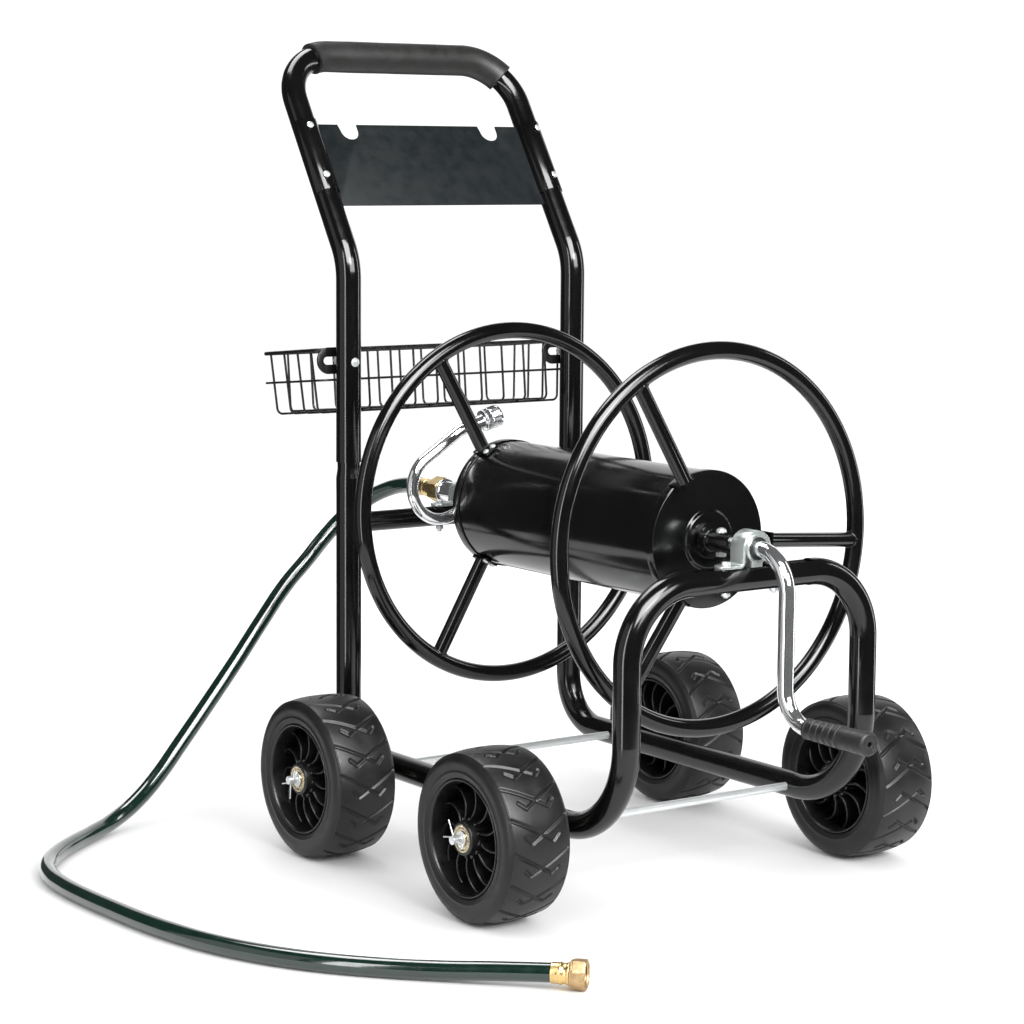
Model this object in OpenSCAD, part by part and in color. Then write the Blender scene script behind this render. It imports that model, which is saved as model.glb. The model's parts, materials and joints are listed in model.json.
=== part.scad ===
// Garden hose reel cart: a bent-tube cart on four wheels that carries a crank-wound reel.
// +Z is up, the crank end faces -Y and the push handle is at +Y. The floor is z = 0.

/* [Frame] */
// Outer diameter of the main frame tube
tube_d = 32; // [30:0.5:34]
// Wall thickness of the bent tubes
tube_wall = 1.5; // [1.2:0.1:2]
// Distance between the side tubes, centre to centre
frame_w = 352; // [330:2:380]
// Distance from the front posts to the rear legs, centre to centre
frame_l = 588; // [570:2:620]
// Height of the front arch's top bar, at its centre
arch_z = 387; // [380:1:392]
// Height of the rear crossbar, at its centre
crossbar_z = 396; // [394:1:398]
// Diameter of the rear crossbar
crossbar_d = 26; // [24:0.5:27]
// Height at which the swaged legs enter the handle tube
joint_z = 475; // [460:1:500]

/* [Handle] */
// Height of the handle's top bar, at its centre
handle_z = 991.5; // [960:0.5:1020]
// Height of the knees, where the handle starts to lean back
knee_z = 730; // [720:1:745]
// How far back the upper handle runs for each millimetre along its slope
lean_sine = 0.5376; // [0.5376, 0.48, 0.6]
// Outer diameter of the foam grip
foam_d = 42; // [38:1:46]

/* [Wheels] */
// Outer diameter of a wheel
wheel_d = 200; // [195:1:205]
// Width of a tyre
wheel_w = 87; // [80:1:90]
// Distance between the wheels' middle planes, left to right
track = 552; // [550:1:560]
// Diameter of the axles
axle_d = 10; // [10:0.5:11]

/* [Reel] */
// Height of the reel's axis
reel_z = 422; // [420:1:426]
// Outer diameter of the drum
drum_d = 160; // [150:1:170]
// Length of the drum without its end caps
drum_l = 410; // [400:1:412]
// Radius of the hoops, to the centre of their tube
hoop_r = 221.5; // [210:0.5:224]
// Diameter of the hoop tube
hoop_d = 21; // [18:0.5:22]
// Diameter of the spokes
spoke_d = 18; // [16:0.5:18.5]
// Diameter of the crank's rod
crank_d = 19; // [18:0.5:19]
// Throw of the crank, from the reel's axis to the grip's axis
crank_throw = 193; // [180:1:200]

/* [Basket] */
// Width of the basket's rim
basket_w = 390; // [370:2:400]
// Depth of the basket, front to back
basket_depth = 142; // [130:1:150]
// Height of the basket
basket_h = 77; // [70:1:80]
// How far the basket sags at its back, in degrees
basket_tilt = 5.5; // [0:0.5:7]

/* [Hose] */
// Outer diameter of the leader hose
hose_d = 21; // [21:0.1:21.2]

/* [Hidden] */
// Bend angles are those of right triangles with whole sides, so that a tube's pieces meet exactly
$fn = 48;

// The frame's own stations. front_y puts the origin at the middle of the whole length.
tube_r = tube_d / 2;
bore_r = tube_r - tube_wall;
side_x = frame_w / 2;
lean = asin(lean_sine);
grip_reach = 208;
lean_run = (handle_z - knee_z) * tan(lean);
front_y = (grip_reach - frame_l - lean_run - foam_d / 2) / 2;
rear_y = front_y + frame_l;
axle_z = wheel_d / 2;
rail_z = axle_z;
front_axle_y = front_y + 117;
rear_axle_y = rear_y - 110;

// Bend radii of the base frame, to the tube's centre
rear_bend = 65;
front_bend = 110;
arch_bend = 85;
arch_flat = 27;
swage_r = bore_r - 0.2;
swage_top = joint_z + 150;

// Handle
knee_bend = 80;
handle_bend = 70;
slant_len = (handle_z - knee_z) / cos(lean);
knee_tangent = knee_bend * tan(lean / 2);
foam_left_arc = asin(0.36);
foam_right_arc = asin(0.8);

// Tool plate, measured along the slanted legs from the knee
plate_low = 82;
plate_high = 204;
plate_t = 1.6;
sleeve_low = plate_low + 16;
plate_screw_at = [118, 192];
notch_x = 110;
notch_r = 13.5;

// Reel stations along Y
drum_front = front_y + 79;
drum_rear = drum_front + drum_l;
drum_r = drum_d / 2;
cap_t = 1.5;
cap_r = drum_r + cap_t;
boss_h = 4;
cap_face = boss_h + cap_t;
front_hoop_y = front_y + 68;
rear_hoop_y = drum_rear - 8;
// The front spokes are welded a little unevenly
front_spoke_turns = [-4, 121, 234];
rear_spoke_turns = [0, 120, 240];
spoke_bolt_y = rear_hoop_y - 15.5;
foot_half = 7;
drive_r = 12;
drive_l = 50;
drive_bolt_y = drum_front - 26;
crank_r = crank_d / 2;
arm_y = front_y - 65;
crank_top_bend = 48;
crank_low_bend = 40;
spindle_r = 6;
grip_end_y = front_y - grip_reach;
grip_start_y = arm_y - crank_low_bend - 0.5;
grip_z = reel_z - crank_throw;
clip_y = grip_end_y + 20;

// Front bearing
bush_r = 13.5;
shell_r = 17;
front_bar_top = arch_z + arch_flat / 2;
saddle_t = 3.5;
saddle_bolt_x = 36;

// Water side
crossbar_top = crossbar_z + crossbar_d / 2;
swivel_r = reel_z - crossbar_top;
shaft_r = 11;
spigot_r = 8;
swivel_front_y = rear_y - 17;
swivel_back_y = rear_y + 42;
neck_y = drum_rear + 35;
neck_r = 7.5;
neck_bore_r = 6;
neck_exit = 180 + asin(0.28);
neck_steps = [[68], [43, 180 - asin(0.28), 0], [55], [50, asin(0.28), 0], [28]];
outlet_thread_r = 13.3;

// Wheels
rim_r = 68;
rim_bore_r = 64;
shoulder_r = 16;
hub_r = 20;
bearing_r = 16;
bearing_w = 10;
wheel_x = track / 2;
hub_half = wheel_w / 2 - 1;
web_half = 2;
blade_gap = 0.05;
axle_end_x = wheel_x + 56;
pin_x = wheel_x + 50;
pin_turn = 35;

// Basket
basket_x = -10;
rim_wire_r = 2.5;
bracket_t = 3;
bracket_z = 603;
bracket_half = 17;
basket_z = 617;
// The brackets lean with the basket, so their lower edges lie against the legs
basket_y = rear_y + tube_r + (rim_wire_r + bracket_t) * cos(basket_tilt)
    + (basket_z - bracket_z + bracket_half) * sin(basket_tilt) + 0.1;
wire_r = 1.5;
weld_gap = 2.6;
basket_slope = asin(0.07584);
basket_taper = basket_h * tan(basket_slope);

// The leader hose lies on the floor in a loose curve from the inlet to its coupling
hose_r = hose_d / 2;
hose_sides = 12;
hose_points = [
    [0, 414, 422], [-2, 442, 420], [-11, 471, 412], [-28, 497, 396], [-52, 514, 374],
    [-81, 519, 346], [-112, 516, 317], [-145, 515, 286], [-190, 506, 239], [-234, 498, 190],
    [-281, 490, 140], [-327, 480, 94], [-366, 469, 58], [-402, 457, 33], [-446, 438, 16],
    [-492, 409, 11], [-537, 374, 11], [-578, 336, 11], [-608, 295, 11], [-627, 246, 11],
    [-634, 196, 11], [-635, 141, 11], [-632, 72, 11], [-627, 5, 11], [-618, -55, 11],
    [-605, -109, 11], [-588, -155, 11], [-568, -196, 11], [-542, -237, 11], [-506, -281, 11],
    [-460, -330, 12], [-412, -379, 15], [-374, -418, 17]
];
coupling_turn = -47;
coupling_r = 16.6;
coupling_bore_r = 13.2;

// ---- shared shapes ----

// A bent tube. Each step is [length] for a straight, or [radius, angle, turn] for a bend
// whose plane is first turned about the tube. It starts at the origin and heads up +Z.
module bent_tube(steps, r, r_in = 0, i = 0) {
    if (i < len(steps)) {
        step = steps[i];
        if (len(step) == 1) {
            straight_tube(step[0], r, r_in);
            translate([0, 0, step[0]]) bent_tube(steps, r, r_in, i + 1);
        } else {
            rotate([0, 0, step[2]]) {
                tube_bend(step[0], step[1], r, r_in);
                translate([step[0], 0, 0])
                    rotate([0, step[1], 0])
                        translate([-step[0], 0, 0]) bent_tube(steps, r, r_in, i + 1);
            }
        }
    }
}

module straight_tube(length, r, r_in = 0) {
    difference() {
        cylinder(h = length, r = r);
        if (r_in > 0) translate([0, 0, -1]) cylinder(h = length + 2, r = r_in);
    }
}

// A bend towards +X, of a radius to the tube's centre
module tube_bend(bend_r, angle, r, r_in = 0) {
    reach = 1000;
    translate([bend_r, 0, 0]) rotate([90, 0, 0]) intersection() {
        rotate_extrude() translate([bend_r, 0]) difference() {
            circle(r = r);
            if (r_in > 0) circle(r = r_in);
        }
        linear_extrude(height = 4 * r, center = true) polygon([
            [0, 0], [-reach, 0],
            2 * reach * [-cos(angle / 2), sin(angle / 2)],
            reach * [-cos(angle), sin(angle)]
        ]);
    }
}

// A rod between two points
module rod(a, b, r) {
    d = b - a;
    translate(a)
        rotate([0, acos(d[2] / norm(d)), atan2(d[1], d[0])])
            cylinder(h = norm(d), r = r);
}

// A cylinder along Y from one station to another
module along_y(y0, y1, r) {
    translate([0, y0, 0]) rotate([-90, 0, 0]) cylinder(h = y1 - y0, r = r);
}

// A cylinder along X from one station to another
module along_x(x0, x1, r) {
    translate([x0, 0, 0]) rotate([0, 90, 0]) cylinder(h = x1 - x0, r = r);
}

module mirror_x() {
    children();
    mirror([1, 0, 0]) children();
}

module hex(r, h) {
    cylinder(h = h, r = r, $fn = 6);
}

module at_reel() {
    translate([0, 0, reel_z]) children();
}

// Where the slanted handle starts: the knee of the left leg, with +Z up the slant
module on_slant() {
    translate([0, rear_y, knee_z]) rotate([-lean, 0, 0]) children();
}

// ---- base frame ----

module base_frame() {
    color([0.05, 0.05, 0.055]) difference() {
        union() {
            mirror_x() frame_half();
            flat_bar();
        }
        for (y = [front_axle_y, rear_axle_y])
            translate([0, y, axle_z]) mirror_x() along_x(side_x - 20, side_x + 20, axle_d / 2);
        for (s = [-1, 1])
            translate([s * saddle_bolt_x, front_y, arch_z - 20]) cylinder(h = 40, r = 3);
        leg_bolt_holes();
    }
}

// Holes front to back through each leg
module leg_bolt_holes() {
    for (s = [-1, 1])
        translate([s * side_x, rear_y, bracket_z]) rotate([90, 0, 0])
            cylinder(h = 60, r = 3, center = true);
}

// From the arch's bend, down the post, back along the rail and up the leg
module frame_half() {
    post = arch_z - arch_bend - rail_z - front_bend;
    rail = frame_l - front_bend - rear_bend;
    leg = joint_z - 20 - rail_z - rear_bend;
    translate([-side_x + arch_bend, front_y, arch_z]) rotate([0, -90, 0])
        bent_tube([[arch_bend, 90, 180], [post], [front_bend, 90, -90], [rail], [rear_bend, 90, 0], [leg]],
            tube_r, bore_r);
    translate([-side_x, rear_y, joint_z - 20]) leg_swage();
}

// The leg's necked top, which slides into the handle tube
module leg_swage() {
    difference() {
        union() {
            cylinder(h = 12, r1 = tube_r, r2 = swage_r);
            cylinder(h = swage_top - joint_z + 20, r = swage_r);
        }
        translate([0, 0, -1]) cylinder(h = 300, r = swage_r - tube_wall);
    }
}

// The top bar is pressed flat between the bends, so that the saddle sits square
module flat_bar() {
    half = side_x - arch_bend;
    translate([0, front_y, arch_z]) difference() {
        union() {
            flat_section(half, tube_r, arch_flat / 2);
            for (s = [-1, 1]) translate([s * (half - 2), 0, 0]) along_x(-2, 2, tube_r);
        }
        flat_section(half + 1, bore_r, arch_flat / 2 - tube_wall);
    }
}

module flat_section(half, r, half_height) {
    intersection() {
        along_x(-half, half, r);
        cube([2 * half, 3 * r, 2 * half_height], center = true);
    }
}

module rear_crossbar() {
    color([0.05, 0.05, 0.055]) translate([0, rear_y, 0]) difference() {
        translate([0, 0, crossbar_z]) along_x(-side_x, side_x, crossbar_d / 2);
        translate([0, 0, crossbar_z]) along_x(-side_x, side_x, crossbar_d / 2 - tube_wall);
        for (s = [-1, 1]) translate([s * side_x, 0, 0]) cylinder(h = 1000, r = tube_r);
        for (s = [-1, 1]) translate([s * saddle_bolt_x, 0, 0]) cylinder(h = 1000, r = 3);
    }
}

// ---- handle ----

module handle_tube() {
    color([0.05, 0.05, 0.055]) difference() {
        mirror_x() handle_half();
        leg_bolt_holes();
    }
}

module handle_half() {
    leg = knee_z - knee_tangent - joint_z;
    slant = slant_len - knee_tangent - handle_bend;
    half_bar = side_x - handle_bend;
    translate([-side_x, rear_y, joint_z])
        bent_tube([[leg], [knee_bend, lean, 90], [slant], [handle_bend, 90, -90], [half_bar]],
            tube_r, bore_r);
}

// The foam follows the handle's bends a little way down on each side
module handle_grip() {
    half_bar = side_x - handle_bend;
    bar_len = 2 * half_bar;
    color([0.13, 0.13, 0.13]) on_slant() translate([0, 0, slant_len]) {
        translate([-half_bar, 0, 0]) rotate([0, 90, 0]) straight_tube(bar_len, foam_d / 2, tube_r);
        translate([half_bar, 0, 0]) rotate([0, 90, 0])
            tube_bend(handle_bend, foam_right_arc, foam_d / 2, tube_r);
        translate([-half_bar, 0, 0]) mirror([1, 0, 0]) rotate([0, 90, 0])
            tube_bend(handle_bend, foam_left_arc, foam_d / 2, tube_r);
    }
}

// ---- tool plate ----

module tool_plate() {
    plate_w = frame_w - tube_d;
    color([0.09, 0.12, 0.13]) on_slant() difference() {
        union() {
            difference() {
                translate([-plate_w / 2 - 2, -plate_t / 2, plate_low])
                    cube([plate_w + 4, plate_t, plate_high - plate_low]);
                for (s = [-1, 1]) translate([s * notch_x, 0, plate_high]) hook_notch();
            }
            for (s = [-1, 1]) translate([s * side_x, 0, sleeve_low]) half_sleeve(plate_high - sleeve_low);
        }
        for (s = [-1, 1]) translate([s * side_x, 0, 0]) cylinder(h = 400, r = tube_r);
        for (s = [-1, 1], u = plate_screw_at)
            translate([s * side_x, 0, u]) rotate([90, 0, s * 10]) cylinder(h = 40, r = 2.5);
    }
}

// A half round channel that wraps the front of a leg
module half_sleeve(h) {
    rotate([0, 0, 180]) rotate_extrude(angle = 180) translate([tube_r, 0]) square([plate_t, h]);
}

// A notch with a round bottom, a little wider on its left, for hanging a tool
module hook_notch() {
    rotate([90, 0, 0]) linear_extrude(height = 10, center = true) {
        translate([0, -9]) circle(r = notch_r);
        polygon([[-notch_r - 2.5, 1], [notch_r, 1], [notch_r, -9], [-notch_r, -9]]);
    }
}

module plate_screws() {
    color("silver") on_slant()
        for (s = [-1, 1], u = plate_screw_at)
            translate([s * side_x, 0, u]) rotate([90, 0, s * 10]) translate([0, 0, tube_r + plate_t]) {
                cylinder(h = 2, r1 = 4.6, r2 = 3.4);
                translate([0, 0, -plate_t]) cylinder(h = plate_t, r = 2.5);
            }
}

// ---- basket ----

module at_basket() {
    translate([basket_x, basket_y, basket_z]) rotate([-basket_tilt, 0, 0]) children();
}

module basket() {
    color([0.04, 0.04, 0.05]) at_basket() {
        wire_ring(0, 0, 0, rim_wire_r);
        wire_ring(-basket_h / 2, weld_gap - basket_taper / 2, weld_gap, wire_r);
        for (k = [0:9]) translate([35 * (k - 4.5), 0, 0]) cross_wire();
        for (k = [0:3]) translate([0, basket_depth / 2 + 34 * (k - 1.5), 0]) long_wire();
    }
}

// A closed rectangular ring of wire with round corners, let out at its ends and its long sides
module wire_ring(z, out_ends, out_sides, r) {
    corner = 10;
    w = basket_w + 2 * out_ends - 2 * corner;
    d = basket_depth + 2 * out_sides - 2 * corner;
    translate([-w / 2, -out_sides, z]) rotate([0, 90, 0])
        bent_tube([
            [w], [corner, 90, 90], [d], [corner, 90, 0],
            [w], [corner, 90, 0], [d], [corner, 90, 0]
        ], r);
}

// A wire down the front, under the basket and up the back
module cross_wire() {
    corner = 8;
    side = basket_h - corner;
    floor_len = basket_depth - 2 * corner;
    bent_wire = [[side], [corner, 90, 90], [floor_len], [corner, 90, 0], [side]];
    rotate([180, 0, 0]) mirror([0, 1, 0]) bent_tube(bent_wire, wire_r);
}

// A wire down one end, along under the cross wires and up the other end
module long_wire() {
    corner = 8;
    drop = basket_h + weld_gap;
    run = corner * tan((90 - basket_slope) / 2);
    side = drop / cos(basket_slope) - run;
    floor_len = basket_w - 2 * drop * tan(basket_slope) - 2 * run;
    translate([-basket_w / 2, 0, 0]) rotate([0, 180 - basket_slope, 0]) mirror([1, 0, 0])
        bent_tube([
            [side], [corner, 90 - basket_slope, 0], [floor_len],
            [corner, 90 - basket_slope, 0], [side]
        ], wire_r);
}

// Slotted plates welded before the rim, which hang the basket on the legs
module basket_brackets() {
    color([0.04, 0.04, 0.05]) at_basket()
        for (s = [-1, 1]) translate([s * side_x, -rim_wire_r, bracket_z - basket_z])
            rotate([90, 0, 0]) linear_extrude(height = bracket_t) difference() {
                union() {
                    translate([-8, -bracket_half]) square([16, 2 * bracket_half]);
                    for (t = [-1, 1]) translate([t * 8, 0]) circle(r = bracket_half);
                }
                slot_outline(11, 5);
            }
}

module slot_outline(half, r) {
    translate([-half, -r]) square([2 * half, 2 * r]);
    for (t = [-1, 1]) translate([t * half, 0]) circle(r = r);
}

module leg_bolts() {
    color("silver")
        for (s = [-1, 1]) translate([s * side_x, rear_y, bracket_z]) rotate([90, 0, 0]) {
            difference() {
                translate([0, 0, tube_r - 1.4]) cylinder(h = 4.2, r1 = 6.5, r2 = 4);
                rotate([90, 0, 0]) cylinder(h = 20, r = tube_r, center = true);
            }
            translate([0, 0, -30]) cylinder(h = 30 + tube_r, r = 3);
        }
}

module leg_nuts() {
    color("silver")
        for (s = [-1, 1]) translate([s * side_x, basket_y - 3.1, bracket_z]) rotate([-90, 0, 0])
            difference() {
                union() {
                    cylinder(h = 1.2, r = 6.5);
                    translate([0, 0, 1.2]) hex(6.5, 5);
                }
                translate([0, 0, -1]) cylinder(h = 10, r = 3);
            }
}

// ---- front bearing ----

module front_saddle() {
    color([0.75, 0.77, 0.78]) translate([0, front_y, 0])
        saddle(shell_r, front_bar_top, 50, 24, saddle_bolt_x);
}

// An omega strap over a round shell, with two feet at foot_z
module saddle(inner_r, foot_z, reach, width, bolt_x) {
    outer_r = inner_r + saddle_t;
    difference() {
        union() {
            at_reel() rotate([90, 0, 0]) cylinder(h = width, r = outer_r, center = true);
            translate([-outer_r, -width / 2, foot_z]) cube([2 * outer_r, width, reel_z - foot_z]);
            translate([-reach + width / 2, -width / 2, foot_z]) cube([2 * reach - width, width, saddle_t]);
            for (s = [-1, 1]) translate([s * (reach - width / 2), 0, foot_z])
                cylinder(h = saddle_t, r = width / 2);
        }
        at_reel() rotate([90, 0, 0]) cylinder(h = width + 2, r = inner_r, center = true);
        translate([-inner_r, -width, foot_z - 1]) cube([2 * inner_r, 2 * width, reel_z - foot_z + 1]);
        translate([-outer_r, -width, foot_z - outer_r]) cube([2 * outer_r, 2 * width, outer_r]);
        for (s = [-1, 1]) translate([s * bolt_x, 0, foot_z - 1]) cylinder(h = 10, r = 3);
    }
}

module front_bearing_shell() {
    color([0.75, 0.77, 0.78]) translate([0, front_y, 0]) difference() {
        union() {
            at_reel() along_y(-14, 14, shell_r);
            translate([-8, -12, front_bar_top]) cube([16, 24, reel_z - front_bar_top]);
        }
        at_reel() along_y(-15, 15, bush_r);
    }
}

module front_bush() {
    color([0.03, 0.03, 0.03]) translate([0, front_y, reel_z]) difference() {
        along_y(-14, 14, bush_r);
        along_y(-15, 15, crank_r + 0.05);
    }
}

module saddle_bolts() {
    color("silver") for (s = [-1, 1]) {
        translate([s * saddle_bolt_x, front_y, front_bar_top + saddle_t])
            saddle_bolt(arch_flat + saddle_t + 7);
        translate([s * saddle_bolt_x, rear_y, crossbar_top + saddle_t])
            saddle_bolt(crossbar_d + saddle_t + 8);
    }
}

module saddle_bolt(length) {
    hex(5.6, 4);
    translate([0, 0, -length]) cylinder(h = length, r = 3);
}

module saddle_nuts() {
    color("silver") for (s = [-1, 1]) {
        translate([s * saddle_bolt_x, front_y, arch_z - arch_flat / 2 - 5]) nut();
        translate([s * saddle_bolt_x, rear_y, crossbar_z - crossbar_d / 2 - 5]) nut();
    }
}

module nut() {
    difference() {
        hex(5.6, 5);
        translate([0, 0, -1]) cylinder(h = 7, r = 3);
    }
}

// ---- rear bearing and water inlet ----

module rear_saddle() {
    color([0.75, 0.77, 0.78]) translate([0, rear_y, 0]) difference() {
        saddle(swivel_r, crossbar_top, 48, 20, saddle_bolt_x);
        translate([0, 0, crossbar_z]) along_x(-60, 60, crossbar_d / 2);
    }
}

// The fixed half of the water swivel, with the inlet thread at its back
module inlet_swivel() {
    color([0.8, 0.8, 0.8]) at_reel() difference() {
        union() {
            along_y(swivel_front_y, swivel_back_y, swivel_r);
            along_y(swivel_back_y, swivel_back_y + 22, 13);
            along_y(swivel_back_y - 3, swivel_back_y, 16);
        }
        along_y(swivel_front_y - 1, rear_y + 20, spigot_r + 0.05);
        along_y(rear_y - 1, swivel_back_y + 30, 6.5);
    }
}

module swivel_seal() {
    color([0.02, 0.02, 0.02]) at_reel() difference() {
        along_y(rear_y + 13, rear_y + 16, spigot_r + 0.05);
        along_y(rear_y + 12, rear_y + 17, 6);
    }
}

// ---- axles ----

module front_axle() {
    axle(front_axle_y);
}

module rear_axle() {
    axle(rear_axle_y);
}

module axle(y) {
    color("silver") translate([0, y, axle_z]) difference() {
        along_x(-axle_end_x, axle_end_x, axle_d / 2);
        for (s = [-1, 1]) translate([s * pin_x, 0, 0]) rotate([pin_turn, 0, 0])
            cylinder(h = 30, r = 1.6, center = true);
    }
}

module for_each_wheel() {
    for (y = [front_axle_y, rear_axle_y])
        translate([0, y, axle_z]) mirror_x() children();
}

// Tubes that hold the wheels off the rails
module axle_spacers() {
    color([0.1, 0.1, 0.1]) difference() {
        for_each_wheel() difference() {
            along_x(side_x, wheel_x - hub_half - 1.6, 9);
            along_x(side_x - 1, wheel_x, axle_d / 2);
        }
        for (s = [-1, 1]) translate([s * side_x, 0, rail_z]) along_y(front_y, rear_y, tube_r);
    }
}

module axle_washers() {
    color("silver") for_each_wheel() difference() {
        union() {
            along_x(wheel_x - hub_half - 1.6, wheel_x - hub_half - 0.4, 9);
            along_x(wheel_x + hub_half + 0.4, wheel_x + hub_half + 1.9, 9);
        }
        along_x(wheel_x - 60, wheel_x + 60, axle_d / 2);
    }
}

// Split pins: a round eye above the axle and two legs spread below it
module cotter_pins() {
    color("silver") for_each_wheel() translate([pin_x, 0, 0]) rotate([pin_turn, 0, 0]) {
        cylinder(h = 22, r = 1.6, center = true);
        translate([0, 0, 13]) rotate([90, 0, 0]) rotate_extrude() translate([2.8, 0]) circle(r = 1.2);
        for (t = [-1, 1]) rod([0, 0, -9.5], [0, t * 10, -16], 1.2);
    }
}

// ---- reel ----

module drum_shell() {
    color([0.05, 0.05, 0.055]) at_reel() difference() {
        along_y(drum_front, drum_rear, drum_r);
        along_y(drum_front - 1, drum_rear + 1, drum_r - 1.2);
    }
}

module front_drum_cap() {
    color([0.05, 0.05, 0.055]) at_reel() difference() {
        translate([0, drum_front, 0]) rotate([90, 0, 0]) drum_cap();
        along_y(drum_front - 20, drum_front + 20, drive_r);
    }
}

module rear_drum_cap() {
    color([0.05, 0.05, 0.055]) at_reel() difference() {
        translate([0, drum_rear, 0]) rotate([-90, 0, 0]) drum_cap();
        along_y(drum_rear - 20, drum_rear + 20, shaft_r);
        hub_bolt_places() cylinder(h = 20, r = 2.5, center = true);
    }
}

// A pressed lid: a skirt over the shell, a flat face and a raised round boss
module drum_cap() {
    skirt = 12;
    boss_r = 35;
    rotate_extrude($fn = 96) polygon([
        [0, boss_h], [boss_r - 3, boss_h], [boss_r, 0], [drum_r, 0], [drum_r, -skirt],
        [cap_r, -skirt], [cap_r, cap_t], [boss_r + 1, cap_t],
        [boss_r - 2, cap_face], [0, cap_face]
    ]);
}

module front_hoop() {
    color([0.05, 0.05, 0.055]) at_reel() translate([0, front_hoop_y, 0]) hoop();
}

module rear_hoop() {
    color([0.05, 0.05, 0.055]) at_reel() translate([0, rear_hoop_y, 0]) hoop();
}

module hoop() {
    rotate([90, 0, 0]) rotate_extrude($fn = 120) translate([hoop_r, 0]) difference() {
        circle(r = hoop_d / 2);
        circle(r = hoop_d / 2 - 1.2);
    }
}

module front_spokes() {
    spokes(front_spoke_turns, front_hoop_y, front_hoop_y - spoke_d / 2, drum_front + 9);
}

module rear_spokes() {
    difference() {
        spokes(rear_spoke_turns, rear_hoop_y, spoke_bolt_y - 5, drum_rear + cap_t);
        spoke_bolt_places() along_x(-2, 6, 2);
    }
}

// Three tubes that stand on curved feet and meet the hoop
module spokes(turns, hoop_y, foot_front, foot_back) {
    color([0.05, 0.05, 0.055]) at_reel() difference() {
        for (turn = turns) rotate([0, -turn, 0]) {
            translate([0, hoop_y, 0]) rotate([0, 90, 0]) difference() {
                cylinder(h = hoop_r, r = spoke_d / 2);
                translate([0, 0, -1]) cylinder(h = hoop_r + 2, r = spoke_d / 2 - 1.2);
                cylinder(h = cap_r + 1, r = spoke_d);
            }
            translate([0, foot_back, 0]) rotate([90, 0, 0]) rotate([0, 0, -foot_half])
                rotate_extrude(angle = 2 * foot_half)
                    translate([cap_r, 0]) square([3, foot_back - foot_front]);
        }
        translate([0, hoop_y, 0]) rotate([90, 0, 0])
            rotate_extrude($fn = 120) translate([hoop_r, 0]) circle(r = hoop_d / 2);
    }
}

// Each rear foot has two bolts in front of its spoke
module spoke_bolt_places() {
    at_reel() for (turn = rear_spoke_turns, t = [-1, 1])
        rotate([0, -turn + t * 4, 0]) translate([cap_r, spoke_bolt_y, 0]) children();
}

module spoke_bolts() {
    color("silver") spoke_bolt_places() {
        along_x(0, 3, 2);
        translate([3, 0, 0]) rotate([0, 90, 0]) cylinder(h = 2.4, r1 = 4, r2 = 2.4);
    }
}

// The socket on the drum's front face that takes the crank's rod
module drive_shaft() {
    color([0.04, 0.04, 0.04]) at_reel() difference() {
        union() {
            along_y(drum_front - drive_l, drum_front + 20, drive_r);
            along_y(drum_front - cap_face - 4, drum_front - cap_face, 22);
        }
        along_y(drum_front - drive_l - 1, drum_front + 21, crank_r);
        translate([0, drive_bolt_y, 0]) cylinder(h = 60, r = 3, center = true);
    }
}

module drive_bolt() {
    color("silver") at_reel() translate([0, drive_bolt_y, 0]) {
        difference() {
            translate([0, 0, drive_r - 1]) cylinder(h = 5, r1 = 6.2, r2 = 4.5);
            along_y(-8, 8, drive_r);
        }
        cylinder(h = 2 * drive_r + 10, r = 3, center = true);
        translate([0, 0, -drive_r - 5]) hex(6, 5);
    }
}

module crank_arm() {
    run = drum_front + 10 - arm_y - crank_top_bend;
    arm = crank_throw - crank_top_bend - crank_low_bend;
    color([0.8, 0.8, 0.82]) at_reel() difference() {
        union() {
            translate([0, drum_front + 10, 0]) rotate([90, 0, 0])
                bent_tube([[run], [crank_top_bend, 90, -90], [arm], [crank_low_bend, 90, 180]], crank_r);
            translate([0, 0, -crank_throw]) along_y(grip_end_y + 12, arm_y - crank_low_bend, spindle_r);
        }
        translate([0, drive_bolt_y, 0]) cylinder(h = 60, r = 3, center = true);
        translate([0, clip_y, -crank_throw]) clip_ring(spindle_r - 1, spindle_r + 2);
    }
}

module clip_ring(inner_r, outer_r) {
    difference() {
        along_y(-0.6, 0.6, outer_r);
        along_y(-1, 1, inner_r);
    }
}

// Keeps the grip on its spindle
module grip_clip() {
    color("silver") translate([0, clip_y, grip_z]) clip_ring(spindle_r - 1, 7.4);
}

// A free-turning sleeve with a flared start and a round end
module crank_grip() {
    length = grip_start_y - grip_end_y;
    color([0.06, 0.06, 0.06]) translate([0, grip_start_y, grip_z]) rotate([90, 0, 0]) difference() {
        rotate_extrude() difference() {
            union() {
                polygon([[0, 0], [12.2, 0], [12.2, 4], [11.6, 6], [12.8, length - 26], [13.6, length - 22],
                    [13.6, length - 4], [9.6, length], [0, length]]);
                translate([9.6, length - 4]) circle(r = 4);
            }
            translate([-20, -1]) square([20, length + 10]);
        }
        translate([0, 0, -1]) cylinder(h = length - 10 + 1, r = spindle_r + 0.05);
        translate([0, 0, grip_start_y - clip_y - 3]) cylinder(h = 6, r = 8);
        cylinder(h = length + 1, r = 3);
    }
}

// The turning half of the water swivel: it carries the drum's rear end and feeds the gooseneck
module water_shaft() {
    color([0.78, 0.78, 0.8]) at_reel() difference() {
        union() {
            along_y(drum_rear - 15, neck_y + 30, shaft_r);
            along_y(drum_rear + cap_face, drum_rear + cap_face + 4, 28);
            along_y(neck_y, rear_y + 12, spigot_r);
        }
        along_y(neck_y - 12, rear_y + 13, 5.5);
        at_neck() cylinder(h = 30, r = neck_bore_r - 0.6);
        hub_bolt_places() cylinder(h = 20, r = 2.5, center = true);
    }
}

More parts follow.
